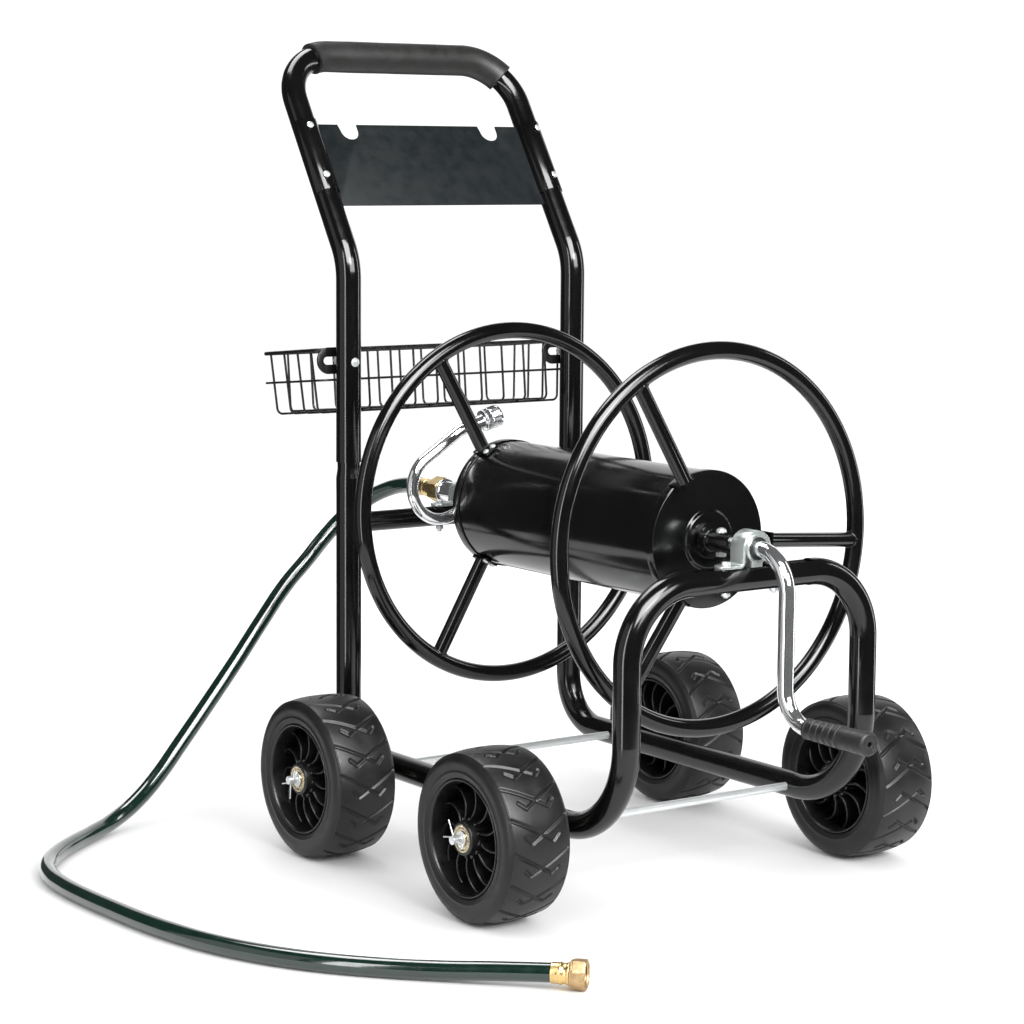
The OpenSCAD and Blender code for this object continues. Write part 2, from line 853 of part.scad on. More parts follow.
module hub_bolt_places() {
    for (turn = [45:90:315])
        rotate([0, turn, 0]) translate([20, drum_rear + cap_face, 0]) rotate([-90, 0, 0]) children();
}

module hub_bolts() {
    color("silver") at_reel() hub_bolt_places() {
        translate([0, 0, -10]) cylinder(h = 14, r = 2.5);
        translate([0, 0, 4]) hex(4.6, 3);
    }
}

// Where the gooseneck leaves the shaft, heading along +Z
module at_neck() {
    translate([0, neck_y, 0]) rotate([0, 90 - neck_exit, 0]) children();
}

module gooseneck() {
    color([0.8, 0.8, 0.82]) at_reel() difference() {
        at_neck() bent_tube(neck_steps, neck_r, neck_bore_r);
        along_y(drum_rear, rear_y, shaft_r);
    }
}

// Carries children to the far end of a bent tube
module at_tube_end(steps, i = 0) {
    if (i == len(steps)) children();
    else if (len(steps[i]) == 1) translate([0, 0, steps[i][0]]) at_tube_end(steps, i + 1) children();
    else rotate([0, 0, steps[i][2]]) translate([steps[i][0], 0, 0]) rotate([0, steps[i][1], 0])
        translate([-steps[i][0], 0, 0]) at_tube_end(steps, i + 1) children();
}

// The hose thread at the gooseneck's end, on a knurled collar
module outlet_fitting() {
    color([0.82, 0.82, 0.84]) at_reel() at_neck() at_tube_end(neck_steps) difference() {
        union() {
            translate([0, 0, -12]) cylinder(h = 14, r = 9.5);
            translate([0, 0, 2]) cylinder(h = 11, r = 14.5);
            translate([0, 0, 13]) cylinder(h = 13, r = outlet_thread_r);
        }
        translate([0, 0, -13]) cylinder(h = 13, r = neck_r);
        translate([0, 0, -1]) cylinder(h = 40, r = 8);
    }
}

// ---- wheels ----

// The frame of one wheel: side is -1 left or 1 right, +Z points outward
module at_wheel(side, y) {
    translate([side * wheel_x, y, axle_z]) rotate([0, side * 90, 0]) children();
}

module tyre() {
    half = wheel_w / 2;
    flat = wheel_d / 2 - shoulder_r;
    color([0.07, 0.07, 0.075]) rotate_extrude($fn = 120) {
        translate([rim_r, -half]) square([flat - rim_r, wheel_w]);
        translate([rim_r, -half + shoulder_r]) square([wheel_d / 2 - rim_r, wheel_w - 2 * shoulder_r]);
        for (s = [-1, 1]) translate([flat, s * (half - shoulder_r)]) circle(r = shoulder_r);
    }
}

// The deep drum of a rim: barrel, web and hub in one turned shape
module rim() {
    w = wheel_w / 2 - 2;
    bore = axle_d / 2 + 3;
    seat = hub_half - bearing_w;
    color([0.05, 0.05, 0.055]) rotate_extrude($fn = 96) polygon([
        [bore, -seat], [bearing_r, -seat], [bearing_r, -hub_half], [hub_r, -hub_half], [hub_r, -web_half],
        [rim_bore_r, -web_half], [rim_bore_r, -w], [rim_r, -w], [rim_r, w], [rim_bore_r, w],
        [rim_bore_r, web_half], [hub_r, web_half], [hub_r, hub_half], [bearing_r, hub_half],
        [bearing_r, seat], [bore, seat]
    ]);
}

// Twelve curved blades on each side of the web
module rim_blades() {
    depth = 28 - web_half;
    color([0.05, 0.05, 0.055]) for (s = [-1, 1], k = [0:11])
        translate([0, 0, s * (web_half + depth / 2 + blade_gap)]) rotate([0, 0, 30 * k]) blade(depth);
}

// One blade: a part of a circle that runs from the hub to the barrel
module blade(depth) {
    linear_extrude(height = depth, center = true) intersection() {
        translate([39.1, 17.4]) difference() {
            circle(r = 27.2);
            circle(r = 24.8);
        }
        difference() {
            circle(r = rim_bore_r - blade_gap, $fn = 96);
            circle(r = hub_r + blade_gap);
        }
        polygon([[0, -40], [80, -40], [80, 17], [20, -1], [0, -7]]);
    }
}

module wheel_bearings() {
    color([0.7, 0.65, 0.5]) for (s = [-1, 1])
        translate([0, 0, s * (hub_half - bearing_w / 2)]) difference() {
            cylinder(h = bearing_w, r = bearing_r, center = true);
            cylinder(h = bearing_w + 2, r = axle_d / 2 + 0.05, center = true);
        }
}

// ---- leader hose ----

function unit(v) = v / norm(v);
function hose_dir(i) = i == 0 ? [0, 1, 0]
    : i == len(hose_points) - 1 ? [cos(coupling_turn), sin(coupling_turn), 0]
    : unit(hose_points[i + 1] - hose_points[i - 1]);
function hose_side(i) = unit(cross(hose_dir(i), [0, 0, 1]));
function hose_ring(i) = [for (k = [0:hose_sides - 1])
    let (a = 360 * k / hose_sides, s = hose_side(i))
    hose_points[i] + hose_r * (cos(a) * s + sin(a) * cross(s, hose_dir(i)))];

module leader_hose() {
    rings = len(hose_points);
    points = [for (i = [0:rings - 1]) each hose_ring(i)];
    walls = [for (i = [0:rings - 2], k = [0:hose_sides - 1])
        let (a = i * hose_sides, n = (k + 1) % hose_sides)
        [a + k, a + n, a + hose_sides + n, a + hose_sides + k]];
    start = [for (k = [hose_sides - 1:-1:0]) k];
    end = [for (k = [0:hose_sides - 1]) (rings - 1) * hose_sides + k];
    color([0.02, 0.15, 0.1]) polyhedron(points, concat(walls, [start], [end]), convexity = 8);
}

// The brass nut and tail that join the hose to the inlet
module inlet_nut() {
    color([0.75, 0.6, 0.25]) at_reel() difference() {
        union() {
            translate([0, swivel_back_y, 0]) rotate([-90, 0, 0]) hex(18, 30);
            along_y(swivel_back_y + 30, hose_points[0][1], 11.5);
        }
        along_y(swivel_back_y - 1, swivel_back_y + 22, 13);
        along_y(swivel_back_y, 500, 6.5);
    }
}

module at_hose_end() {
    translate(hose_points[len(hose_points) - 1]) rotate([0, 90, coupling_turn]) children();
}

module hose_ferrule() {
    color([0.75, 0.6, 0.25]) at_hose_end() straight_tube(20, 11.5, 6.5);
}

// A female hose coupling, with its thread's bore open at the end
module hose_coupling() {
    color([0.75, 0.6, 0.25]) at_hose_end() translate([0, 0, 20]) difference() {
        cylinder(h = 18, r = coupling_r);
        translate([0, 0, 5]) cylinder(h = 20, r = coupling_bore_r);
        translate([0, 0, -1]) cylinder(h = 20, r = 6.5);
    }
}

base_frame();
rear_crossbar();
handle_tube();
handle_grip();
tool_plate();
plate_screws();
basket();
basket_brackets();
leg_bolts();
leg_nuts();
front_saddle();
front_bearing_shell();
front_bush();
saddle_bolts();
saddle_nuts();
rear_saddle();
inlet_swivel();
swivel_seal();
front_axle();
rear_axle();
axle_spacers();
axle_washers();
cotter_pins();
drum_shell();
front_drum_cap();
rear_drum_cap();
front_hoop();
rear_hoop();
front_spokes();
rear_spokes();
spoke_bolts();
drive_shaft();
drive_bolt();
crank_arm();
grip_clip();
water_shaft();
hub_bolts();
gooseneck();
outlet_fitting();
crank_grip();
at_wheel(-1, front_axle_y) tyre();  // tyre_front_left
at_wheel(-1, front_axle_y) rim();  // rim_front_left
at_wheel(-1, front_axle_y) rim_blades();  // blades_front_left
at_wheel(-1, front_axle_y) wheel_bearings();  // bearings_front_left
at_wheel(1, front_axle_y) tyre();  // tyre_front_right
at_wheel(1, front_axle_y) rim();  // rim_front_right
at_wheel(1, front_axle_y) rim_blades();  // blades_front_right
at_wheel(1, front_axle_y) wheel_bearings();  // bearings_front_right
at_wheel(-1, rear_axle_y) tyre();  // tyre_rear_left
at_wheel(-1, rear_axle_y) rim();  // rim_rear_left
at_wheel(-1, rear_axle_y) rim_blades();  // blades_rear_left
at_wheel(-1, rear_axle_y) wheel_bearings();  // bearings_rear_left
at_wheel(1, rear_axle_y) tyre();  // tyre_rear_right
at_wheel(1, rear_axle_y) rim();  // rim_rear_right
at_wheel(1, rear_axle_y) rim_blades();  // blades_rear_right
at_wheel(1, rear_axle_y) wheel_bearings();  // bearings_rear_right
inlet_nut();
leader_hose();
hose_ferrule();
hose_coupling();
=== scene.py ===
"""A garden hose reel cart: the looks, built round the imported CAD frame. Lengths are in metres."""
import json
import math

import bmesh
import bpy
import numpy as np
from mathutils import Matrix, Vector

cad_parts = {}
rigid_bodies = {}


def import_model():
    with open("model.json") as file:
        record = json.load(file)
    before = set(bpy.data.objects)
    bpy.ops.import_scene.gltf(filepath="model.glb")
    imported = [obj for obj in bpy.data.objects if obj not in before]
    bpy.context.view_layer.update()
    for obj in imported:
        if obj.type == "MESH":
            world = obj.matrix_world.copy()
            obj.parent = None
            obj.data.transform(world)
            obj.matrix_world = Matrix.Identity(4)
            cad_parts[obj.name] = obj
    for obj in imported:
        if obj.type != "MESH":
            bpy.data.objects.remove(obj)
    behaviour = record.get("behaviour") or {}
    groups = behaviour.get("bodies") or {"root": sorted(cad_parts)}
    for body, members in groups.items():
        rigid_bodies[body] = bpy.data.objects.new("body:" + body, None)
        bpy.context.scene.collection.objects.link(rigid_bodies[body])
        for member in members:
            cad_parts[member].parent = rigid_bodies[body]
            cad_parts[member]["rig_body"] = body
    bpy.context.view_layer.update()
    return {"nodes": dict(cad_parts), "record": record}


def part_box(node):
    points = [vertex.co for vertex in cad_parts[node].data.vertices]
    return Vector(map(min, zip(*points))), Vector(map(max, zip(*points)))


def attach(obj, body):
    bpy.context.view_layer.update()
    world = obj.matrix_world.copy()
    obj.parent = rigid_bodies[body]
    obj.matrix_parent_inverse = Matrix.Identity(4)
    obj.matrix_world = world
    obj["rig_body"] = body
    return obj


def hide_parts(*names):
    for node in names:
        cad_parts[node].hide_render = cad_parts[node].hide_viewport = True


MM = 0.001
TURN = 2 * math.pi
LEAN = math.asin(0.5376)    # how far the handle's upper legs lean back
PIN_OUT = 50                # mm, from a tyre's middle out to its split pin
SPOKE_FOOT_TOP = 84.5       # mm, from the reel's axis to the outside of the spokes' feet
SLEEVE_FROM = 0.1575        # from the middle out to where the plate's sleeves start
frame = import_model()
nodes = frame["nodes"]
scene = bpy.context.scene


def centre(node):
    """The middle of a CAD node's box."""
    low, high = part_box(node)
    return (low + high) / 2


# The height of the reel's axis.
reel_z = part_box("front_hoop")[0].z / 2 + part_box("front_hoop")[1].z / 2


# ---- camera and the hose, which come first ----

CAMERA_LENS = 97.72
CAMERA_PLACE = (-2.0372, -2.7009, 0.8685)
CAMERA_TURNS = (-35.1636, -7.3764, 0.4093)  # yaw, pitch and roll, in degrees


def make_camera():
    """A long lens from the front left, looking a little down."""
    data = bpy.data.cameras.new("camera")
    data.sensor_width = 36.0
    data.lens = CAMERA_LENS
    data.clip_start = 0.05
    data.clip_end = 60.0
    camera = bpy.data.objects.new("camera", data)
    scene.collection.objects.link(camera)
    yaw, pitch, roll = (math.radians(turn) for turn in CAMERA_TURNS)
    place = Matrix.Translation(CAMERA_PLACE)
    aim = Matrix.Rotation(yaw, 4, "Z") @ Matrix.Rotation(math.pi / 2 + pitch, 4, "X")
    camera.matrix_world = place @ aim @ Matrix.Rotation(roll, 4, "Z")
    scene.camera = camera


HOSE_D = 0.021
# The hose's centre line, from the water inlet to the coupling on the floor.
HOSE_ROUTE = [
    (0, 0.414, 0.422), (-0.002, 0.442, 0.420), (-0.011, 0.471, 0.412), (-0.028, 0.497, 0.396),
    (-0.052, 0.514, 0.374), (-0.081, 0.519, 0.346), (-0.112, 0.516, 0.317), (-0.145, 0.515, 0.286),
    (-0.190, 0.506, 0.239), (-0.234, 0.498, 0.190), (-0.281, 0.490, 0.140), (-0.327, 0.480, 0.094),
    (-0.366, 0.469, 0.058), (-0.402, 0.457, 0.033), (-0.446, 0.438, 0.016), (-0.492, 0.409, 0.011),
    (-0.537, 0.374, 0.011), (-0.578, 0.336, 0.011), (-0.608, 0.295, 0.011), (-0.627, 0.246, 0.011),
    (-0.634, 0.196, 0.011), (-0.635, 0.141, 0.011), (-0.632, 0.072, 0.011), (-0.627, 0.005, 0.011),
    (-0.618, -0.055, 0.011), (-0.605, -0.109, 0.011), (-0.588, -0.155, 0.011), (-0.568, -0.196, 0.011),
    (-0.542, -0.237, 0.011), (-0.506, -0.281, 0.011), (-0.460, -0.330, 0.012), (-0.412, -0.379, 0.015),
    (-0.374, -0.418, 0.017),
]
HOSE_END_TURN = math.radians(-47)


def make_hose():
    """The leader hose as one smooth curve through its route."""
    data = bpy.data.curves.new("leader_hose_curve", "CURVE")
    data.dimensions = "3D"
    data.bevel_depth = HOSE_D / 2
    data.bevel_resolution = 10
    data.resolution_u = 8
    data.use_fill_caps = True
    spline = data.splines.new("BEZIER")
    spline.bezier_points.add(len(HOSE_ROUTE) - 1)
    for point, place in zip(spline.bezier_points, HOSE_ROUTE):
        point.co = place
        point.handle_left_type = point.handle_right_type = "AUTO"
    hose = bpy.data.objects.new("garden_hose", data)
    scene.collection.objects.link(hose)
    return hose


# ---- materials ----

class Finish:
    """A Principled material whose colour, roughness and relief come from noise in object space."""

    def __init__(self, name, color, roughness, metallic=0.0, **sockets):
        self.material = bpy.data.materials.new(name)
        self.material.use_nodes = True
        self.tree = self.material.node_tree
        self.shader = self.tree.nodes["Principled BSDF"]
        self.shader.inputs["Base Color"].default_value = (*color, 1)
        self.shader.inputs["Roughness"].default_value = roughness
        self.shader.inputs["Metallic"].default_value = metallic
        for key, value in sockets.items():
            self.shader.inputs[key.replace("_", " ")].default_value = value
        self.coordinates = self.tree.nodes.new("ShaderNodeTexCoord").outputs["Object"]
        self.bump = None

    def noise(self, scale, detail):
        """A value that wanders smoothly between 0 and 1."""
        texture = self.tree.nodes.new("ShaderNodeTexNoise")
        texture.inputs["Scale"].default_value = scale
        texture.inputs["Detail"].default_value = detail
        self.tree.links.new(self.coordinates, texture.inputs["Vector"])
        return texture.outputs[0]

    def cells(self, scale):
        """The distance to the nearest of many scattered points, which gives pores."""
        texture = self.tree.nodes.new("ShaderNodeTexVoronoi")
        texture.inputs["Scale"].default_value = scale
        self.tree.links.new(self.coordinates, texture.inputs["Vector"])
        return texture.outputs["Distance"]

    def ramp(self, source, stops):
        """A value turned into a colour or a grey by (value, colour) stops."""
        node = self.tree.nodes.new("ShaderNodeValToRGB")
        ends = node.color_ramp.elements
        while len(ends) < len(stops):
            ends.new(0.5)
        for end, (place, color) in zip(ends, stops):
            end.position = place
            end.color = (*color, 1) if isinstance(color, tuple) else (color, color, color, 1)
        self.tree.links.new(source, node.inputs["Fac"])
        return node.outputs["Color"]

    def color(self, source, *stops):
        """The base colour, which varies with a value."""
        self.tree.links.new(self.ramp(source, stops), self.shader.inputs["Base Color"])
        return self

    def gloss(self, source, low, high):
        """The roughness, which varies with a value between two ends."""
        stops = [(0.35, low), (0.65, high)]
        self.tree.links.new(self.ramp(source, stops), self.shader.inputs["Roughness"])
        return self

    def relief(self, source, height):
        """A bump of a height in metres, on top of any bump before it."""
        bump = self.tree.nodes.new("ShaderNodeBump")
        bump.inputs["Strength"].default_value = 1.0
        bump.inputs["Distance"].default_value = height
        self.tree.links.new(source, bump.inputs["Height"])
        if self.bump:
            self.tree.links.new(self.bump, bump.inputs["Normal"])
        self.bump = bump.outputs["Normal"]
        self.tree.links.new(self.bump, self.shader.inputs["Normal"])
        return self


def powder_coat():
    """Gloss black powder coat with a faint orange peel."""
    f = Finish("black_powder_coat", (0.003, 0.003, 0.0035), 0.14, Specular_IOR_Level=0.5)
    f.color(f.noise(9, 4), (0.3, (0.0022, 0.0022, 0.0026)), (0.7, (0.0042, 0.0042, 0.0045)))
    f.gloss(f.noise(22, 5), 0.1, 0.18)
    return f.relief(f.noise(420, 2), 0.000012).material


def plate_paint():
    f = Finish("plate_paint", (0.0055, 0.0098, 0.0115), 0.5, Specular_IOR_Level=0.25)
    f.color(f.noise(7, 5), (0.3, (0.0048, 0.009, 0.0105)), (0.7, (0.0062, 0.0108, 0.0125)))
    f.gloss(f.noise(60, 4), 0.42, 0.56)
    return f.relief(f.noise(1500, 2), 0.00005).material


def basket_coat():
    f = Finish("basket_coat", (0.005, 0.005, 0.006), 0.3)
    f.color(f.noise(40, 3), (0.3, (0.004, 0.004, 0.005)), (0.7, (0.008, 0.008, 0.009)))
    f.gloss(f.noise(120, 3), 0.24, 0.38)
    return f.relief(f.noise(900, 3), 0.00006).material


def foam():
    """Closed-cell foam: fine pores under a satin skin."""
    f = Finish("grip_foam", (0.012, 0.012, 0.011), 0.46, Sheen_Weight=0.02, Sheen_Roughness=0.5)
    f.color(f.noise(30, 5), (0.3, (0.0095, 0.0095, 0.0088)), (0.7, (0.0145, 0.0145, 0.0135)))
    f.gloss(f.noise(90, 4), 0.42, 0.52)
    f.relief(f.cells(900), 0.00008)
    return f.relief(f.noise(60, 4), 0.0003).material


def zinc():
    """Bright zinc plate with its faint mottling."""
    f = Finish("bright_zinc", (0.68, 0.71, 0.72), 0.3, 0.62)
    f.color(f.noise(60, 3), (0.3, (0.7, 0.73, 0.74)), (0.55, (0.75, 0.77, 0.77)),
            (0.75, (0.71, 0.745, 0.76)))
    f.gloss(f.noise(50, 3), 0.28, 0.33)
    return f.relief(f.noise(30, 2), 0.00001).material


def saddle_zinc():
    f = Finish("satin_zinc", (0.56, 0.61, 0.6), 0.3, 0.72)
    f.color(f.noise(40, 4), (0.3, (0.5, 0.55, 0.54)), (0.7, (0.64, 0.68, 0.66)))
    f.gloss(f.noise(60, 3), 0.24, 0.32)
    return f.relief(f.noise(60, 3), 0.00002).material


def chrome():
    """Polished plate whose gloss varies a little."""
    f = Finish("chrome_plate", (0.86, 0.87, 0.89), 0.08, 0.94)
    f.color(f.noise(14, 3), (0.3, (0.82, 0.83, 0.85)), (0.7, (0.9, 0.91, 0.92)))
    f.gloss(f.noise(14, 3), 0.07, 0.11)
    return f.relief(f.noise(20, 2), 0.000004).material


def brass():
    """Turned brass with slight tarnish."""
    f = Finish("turned_brass", (0.78, 0.56, 0.24), 0.26, 1.0)
    f.color(f.noise(90, 4), (0.25, (0.66, 0.45, 0.19)), (0.5, (0.78, 0.57, 0.26)),
            (0.8, (0.84, 0.65, 0.33)))
    f.gloss(f.noise(120, 3), 0.24, 0.34)
    return f.relief(f.noise(200, 3), 0.00001).material


def cast_brass():
    """Sand-cast brass: duller and browner, with a grainy skin."""
    f = Finish("cast_brass", (0.5, 0.35, 0.18), 0.42, 1.0)
    f.color(f.noise(300, 5), (0.25, (0.36, 0.24, 0.12)), (0.75, (0.62, 0.45, 0.25)))
    f.gloss(f.noise(500, 4), 0.34, 0.52)
    return f.relief(f.noise(1500, 4), 0.00012).material


def bearing_steel():
    f = Finish("yellow_zinc_bearing", (0.6, 0.5, 0.33), 0.28, 1.0)
    f.color(f.noise(260, 4), (0.3, (0.42, 0.35, 0.23)), (0.7, (0.7, 0.62, 0.45)))
    f.gloss(f.noise(500, 3), 0.2, 0.36)
    return f.relief(f.noise(2500, 2), 0.00002).material


def tyre_rubber():
    """Moulded rubber with an uneven gloss and a fine grain."""
    f = Finish("tyre_rubber", (0.0065, 0.0065, 0.0065), 0.4, Specular_IOR_Level=0.4)
    f.color(f.noise(26, 6), (0.3, (0.0048, 0.0048, 0.005)), (0.7, (0.0085, 0.0082, 0.008)))
    f.gloss(f.noise(45, 5), 0.34, 0.46)
    f.relief(f.noise(180, 4), 0.00008)
    return f.relief(f.noise(1700, 3), 0.00007).material


def rim_plastic():
    f = Finish("rim_plastic", (0.006, 0.006, 0.0065), 0.32)
    f.color(f.noise(35, 4), (0.3, (0.005, 0.005, 0.0055)), (0.7, (0.008, 0.008, 0.0085)))
    f.gloss(f.noise(70, 4), 0.27, 0.42)
    return f.relief(f.noise(1100, 2), 0.00005).material


def grip_plastic():
    f = Finish("grip_plastic", (0.013, 0.013, 0.013), 0.48)
    f.color(f.noise(80, 4), (0.3, (0.01, 0.01, 0.01)), (0.7, (0.016, 0.016, 0.0155)))
    f.gloss(f.noise(150, 4), 0.42, 0.58)
    return f.relief(f.noise(1500, 3), 0.0001).material


def bush_plastic():
    f = Finish("bush_plastic", (0.012, 0.012, 0.012), 0.42)
    f.gloss(f.noise(200, 3), 0.36, 0.5)
    return f.relief(f.noise(900, 2), 0.00004).material


def hose_vinyl():
    """Dark green vinyl with a clear gloss, faintly uneven."""
    f = Finish("hose_vinyl", (0.002, 0.02, 0.0135), 0.16, Coat_Weight=1.0, Coat_Roughness=0.05)
    f.color(f.noise(60, 5), (0.3, (0.0012, 0.0125, 0.0085)), (0.7, (0.0025, 0.022, 0.015)))
    f.gloss(f.noise(90, 4), 0.12, 0.2)
    return f.relief(f.noise(240, 2), 0.00006).material


LOOKS = {
    "frame_black": powder_coat(), "plate_paint": plate_paint(), "basket_coat": basket_coat(),
    "foam": foam(), "zinc": zinc(), "saddle_zinc": saddle_zinc(), "chrome": chrome(),
    "bush_plastic": bush_plastic(), "seal": bush_plastic(), "grip_plastic": grip_plastic(),
    "tyre": tyre_rubber(), "rim": rim_plastic(), "bearing_steel": bearing_steel(),
    "brass": brass(), "cast_brass": cast_brass(), "hose": hose_vinyl(),
}


def dress_cad_nodes():
    """Every CAD node takes its slot's finish."""
    for part in frame["record"]["subparts"]:
        for place in nodes[part["node"]].material_slots:
            place.material = LOOKS[part["material_slot"]]


# ---- mesh helpers ----

def mesh_of(name, points, faces, sharp=35):
    """A smooth-shaded mesh with outward faces, and edges sharper than an angle left crisp."""
    mesh = bpy.data.meshes.new(name)
    mesh.from_pydata([tuple(p) for p in points], [], faces)
    work = bmesh.new()
    work.from_mesh(mesh)
    bmesh.ops.remove_doubles(work, verts=work.verts, dist=1e-7)
    bmesh.ops.recalc_face_normals(work, faces=work.faces)
    work.to_mesh(mesh)
    work.free()
    mesh.shade_smooth()
    mesh.set_sharp_from_angle(angle=math.radians(sharp))
    return mesh


def lathe(name, profile, steps, sharp=35):
    """A shape turned about +Z, from (radius, height) pairs in millimetres."""
    rings = len(profile)
    angles = np.linspace(0, TURN, steps, endpoint=False)
    points = [(r * math.cos(a) * MM, r * math.sin(a) * MM, z * MM) for a in angles for r, z in profile]
    faces = []
    for i in range(steps):
        here, there = i * rings, (i + 1) % steps * rings
        for k in range(rings - 1):
            faces.append((here + k, here + k + 1, there + k + 1, there + k))
    return mesh_of(name, points, faces, sharp)


def rounded(profile, radius, steps=4):
    """A profile with each inner corner replaced by a small arc-like curve."""
    out = [profile[0]]
    for before, corner, after in zip(profile, profile[1:], profile[2:]):
        a, b, c = (np.array(p, float) for p in (before, corner, after))
        reach = min(radius, np.linalg.norm(a - b) / 2.01, np.linalg.norm(c - b) / 2.01)
        start = b + (a - b) / np.linalg.norm(a - b) * reach
        end = b + (c - b) / np.linalg.norm(c - b) * reach
        for t in np.linspace(0, 1, steps + 1):
            out.append(tuple((1 - t) ** 2 * start + 2 * t * (1 - t) * b + t * t * end))
    out.append(profile[-1])
    return out


def rings_mesh(name, rings, closed=False, sharp=180):
    """A mesh over an array of rings of points; a closed one joins its last ring to its first."""
    count, size = rings.shape[:2]
    faces = []
    for i in range(count if closed else count - 1):
        for k in range(size):
            i2, k2 = (i + 1) % count, (k + 1) % size
            faces.append((i * size + k, i2 * size + k, i2 * size + k2, i * size + k2))
    return mesh_of(name, rings.reshape(-1, 3), faces, sharp)


def tube_along(name, path, radii, sides):
    """A closed round tube along a path, with a radius for each of its points."""
    path = np.array(path, float)
    tangents = np.gradient(path, axis=0)
    tangents /= np.linalg.norm(tangents, axis=1)[:, None]
    side = np.cross(tangents[0], (0.31, 0.47, 0.83))
    angles = np.linspace(0, TURN, sides, endpoint=False)
    rings = []
    for point, tangent, radius in zip(path, tangents, radii):
        side = side - tangent * side.dot(tangent)
        side /= np.linalg.norm(side)
        other = np.cross(tangent, side)
        circle = np.outer(np.cos(angles), side) + np.outer(np.sin(angles), other)
        rings.append(point + radius * circle)
    rings = [np.repeat(path[:1], sides, 0), *rings, np.repeat(path[-1:], sides, 0)]
    return rings_mesh(name, np.array(rings), sharp=50)


def nut_mesh(radius, height, chamfer):
    """A hex nut about +Z, in millimetres, with its top corners turned off."""
    work = bmesh.new()
    bmesh.ops.create_cone(work, cap_ends=True, segments=6, radius1=radius * MM, radius2=radius * MM,
                          depth=height * MM)
    bmesh.ops.translate(work, verts=work.verts, vec=(0, 0, height / 2 * MM))
    body = bpy.data.meshes.new("nut")
    work.to_mesh(body)
    work.free()
    flat = radius * math.cos(math.pi / 6)
    cone = [(0, -1), (radius + 1, -1), (radius + 1, height - chamfer), (flat - 0.3, height + 0.01),
            (0, height + 0.01)]
    return combined("nut", [(body, Matrix())], cut=(lathe("cutter", cone, 48), "INTERSECT"), sharp=25)


def combined(name, parts, cut=None, sharp=35):
    """One mesh from several (mesh, matrix) pairs, with an optional boolean against another mesh."""
    work = bmesh.new()
    for mesh, matrix in parts:
        copy = mesh.copy()
        copy.transform(matrix)
        work.from_mesh(copy)
        bpy.data.meshes.remove(copy)
    out = bpy.data.meshes.new(name)
    work.to_mesh(out)
    work.free()
    if cut:
        out = boolean_result(out, *cut)
    out.name = name
    out.shade_smooth()
    out.set_sharp_from_angle(angle=math.radians(sharp))
    return out


def boolean_result(mesh, other, operation):
    """The mesh that is left of one mesh after a boolean with another."""
    target = bpy.data.objects.new("boolean_target", mesh)
    tool = bpy.data.objects.new("boolean_tool", other)
    for o in (target, tool):
        scene.collection.objects.link(o)
    modifier = target.modifiers.new("cut", "BOOLEAN")
    modifier.operation = operation
    modifier.object = tool
    modifier.solver = "EXACT"
    depsgraph = bpy.context.evaluated_depsgraph_get()
    result = bpy.data.meshes.new_from_object(target.evaluated_get(depsgraph))
    for o in (target, tool):
        bpy.data.objects.remove(o)
    return result


def islands(node):
    """The low and high corners of each separate solid of a CAD node, in a steady order."""
    work = bmesh.new()
    work.from_mesh(nodes[node].data)
    bmesh.ops.remove_doubles(work, verts=work.verts, dist=1e-6)
    left = set(work.verts)
    found = []
    while left:
        stack, group = [left.pop()], []
        while stack:
            vert = stack.pop()
            group.append(vert.co.copy())
            for edge in vert.link_edges:
                other = edge.other_vert(vert)
                if other in left:
                    left.remove(other)
                    stack.append(other)
        low = Vector([min(p[i] for p in group) for i in range(3)])
        high = Vector([max(p[i] for p in group) for i in range(3)])
        found.append((low, high))
    work.free()
    return sorted(found, key=lambda box: tuple(round(x, 4) for x in (box[0] + box[1])))


def piece(name, mesh, body, look, matrix=None, replaces=()):
    """A shown piece that rides on a body and wears a finish from its slot."""
    obj = bpy.data.objects.new(name, mesh)
    scene.collection.objects.link(obj)
    if not mesh.materials:
        mesh.materials.append(LOOKS[look])
    if matrix is not None:
        obj.matrix_world = matrix
    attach(obj, body)
    if replaces:
        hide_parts(*replaces)
    return obj


def facing(place, axis):
    """A frame at a place, whose +Z looks along an axis."""
    return Matrix.Translation(place) @ Vector(axis).to_track_quat("Z", "Y").to_matrix().to_4x4()


# ---- tyres ----

TREAD_UNITS = 16
TREAD_STEPS = 34       # mesh steps in one unit of the tread
TREAD_HALF = 36.5
CROWN_R = 100.0
CROWN_DROP = 3.3
GROOVE_DEEP = 2.4
NOTCH_DEEP = 0.9
NOTCH_LINE = ((36, -22), (41, -24))    # across and round, on each shoulder


def smooth_step(value, low, high):
    """A smooth rise from 0 at a low value to 1 at a high one."""
    t = np.clip((value - low) / (high - low), 0, 1)
    return t * t * (3 - 2 * t)


def line_distance(x, s, a, b):
    """How far grid points are from the stretch between two tread points."""
    d = np.array(b, float) - np.array(a, float)
    t = np.clip(((x - a[0]) * d[0] + (s - a[1]) * d[1]) / d.dot(d), 0, 1)
    return np.hypot(x - a[0] - t * d[0], s - a[1] - t * d[1])


def tread_depth(x, s, pitch):
    """Depth in millimetres of the tread at a distance across and a distance round the tyre."""
    depth = np.zeros_like(x)
    arms = [((-37, -21), (14, 8), 1.5), ((37, -21), (-14, 8), 1.5)]
    hooks = [((14, 8), (22, 0.5), 1.9), ((-14, 8), (-22, 0.5), 1.9)]
    for shift in (-pitch, 0, pitch):
        for a, b, half_width in arms + hooks:
            away = line_distance(x, s - shift, a, b)
            cut = GROOVE_DEEP * (1 - smooth_step(away, half_width - 0.1, half_width + 0.6))
            depth = np.maximum(depth, cut)
    return depth


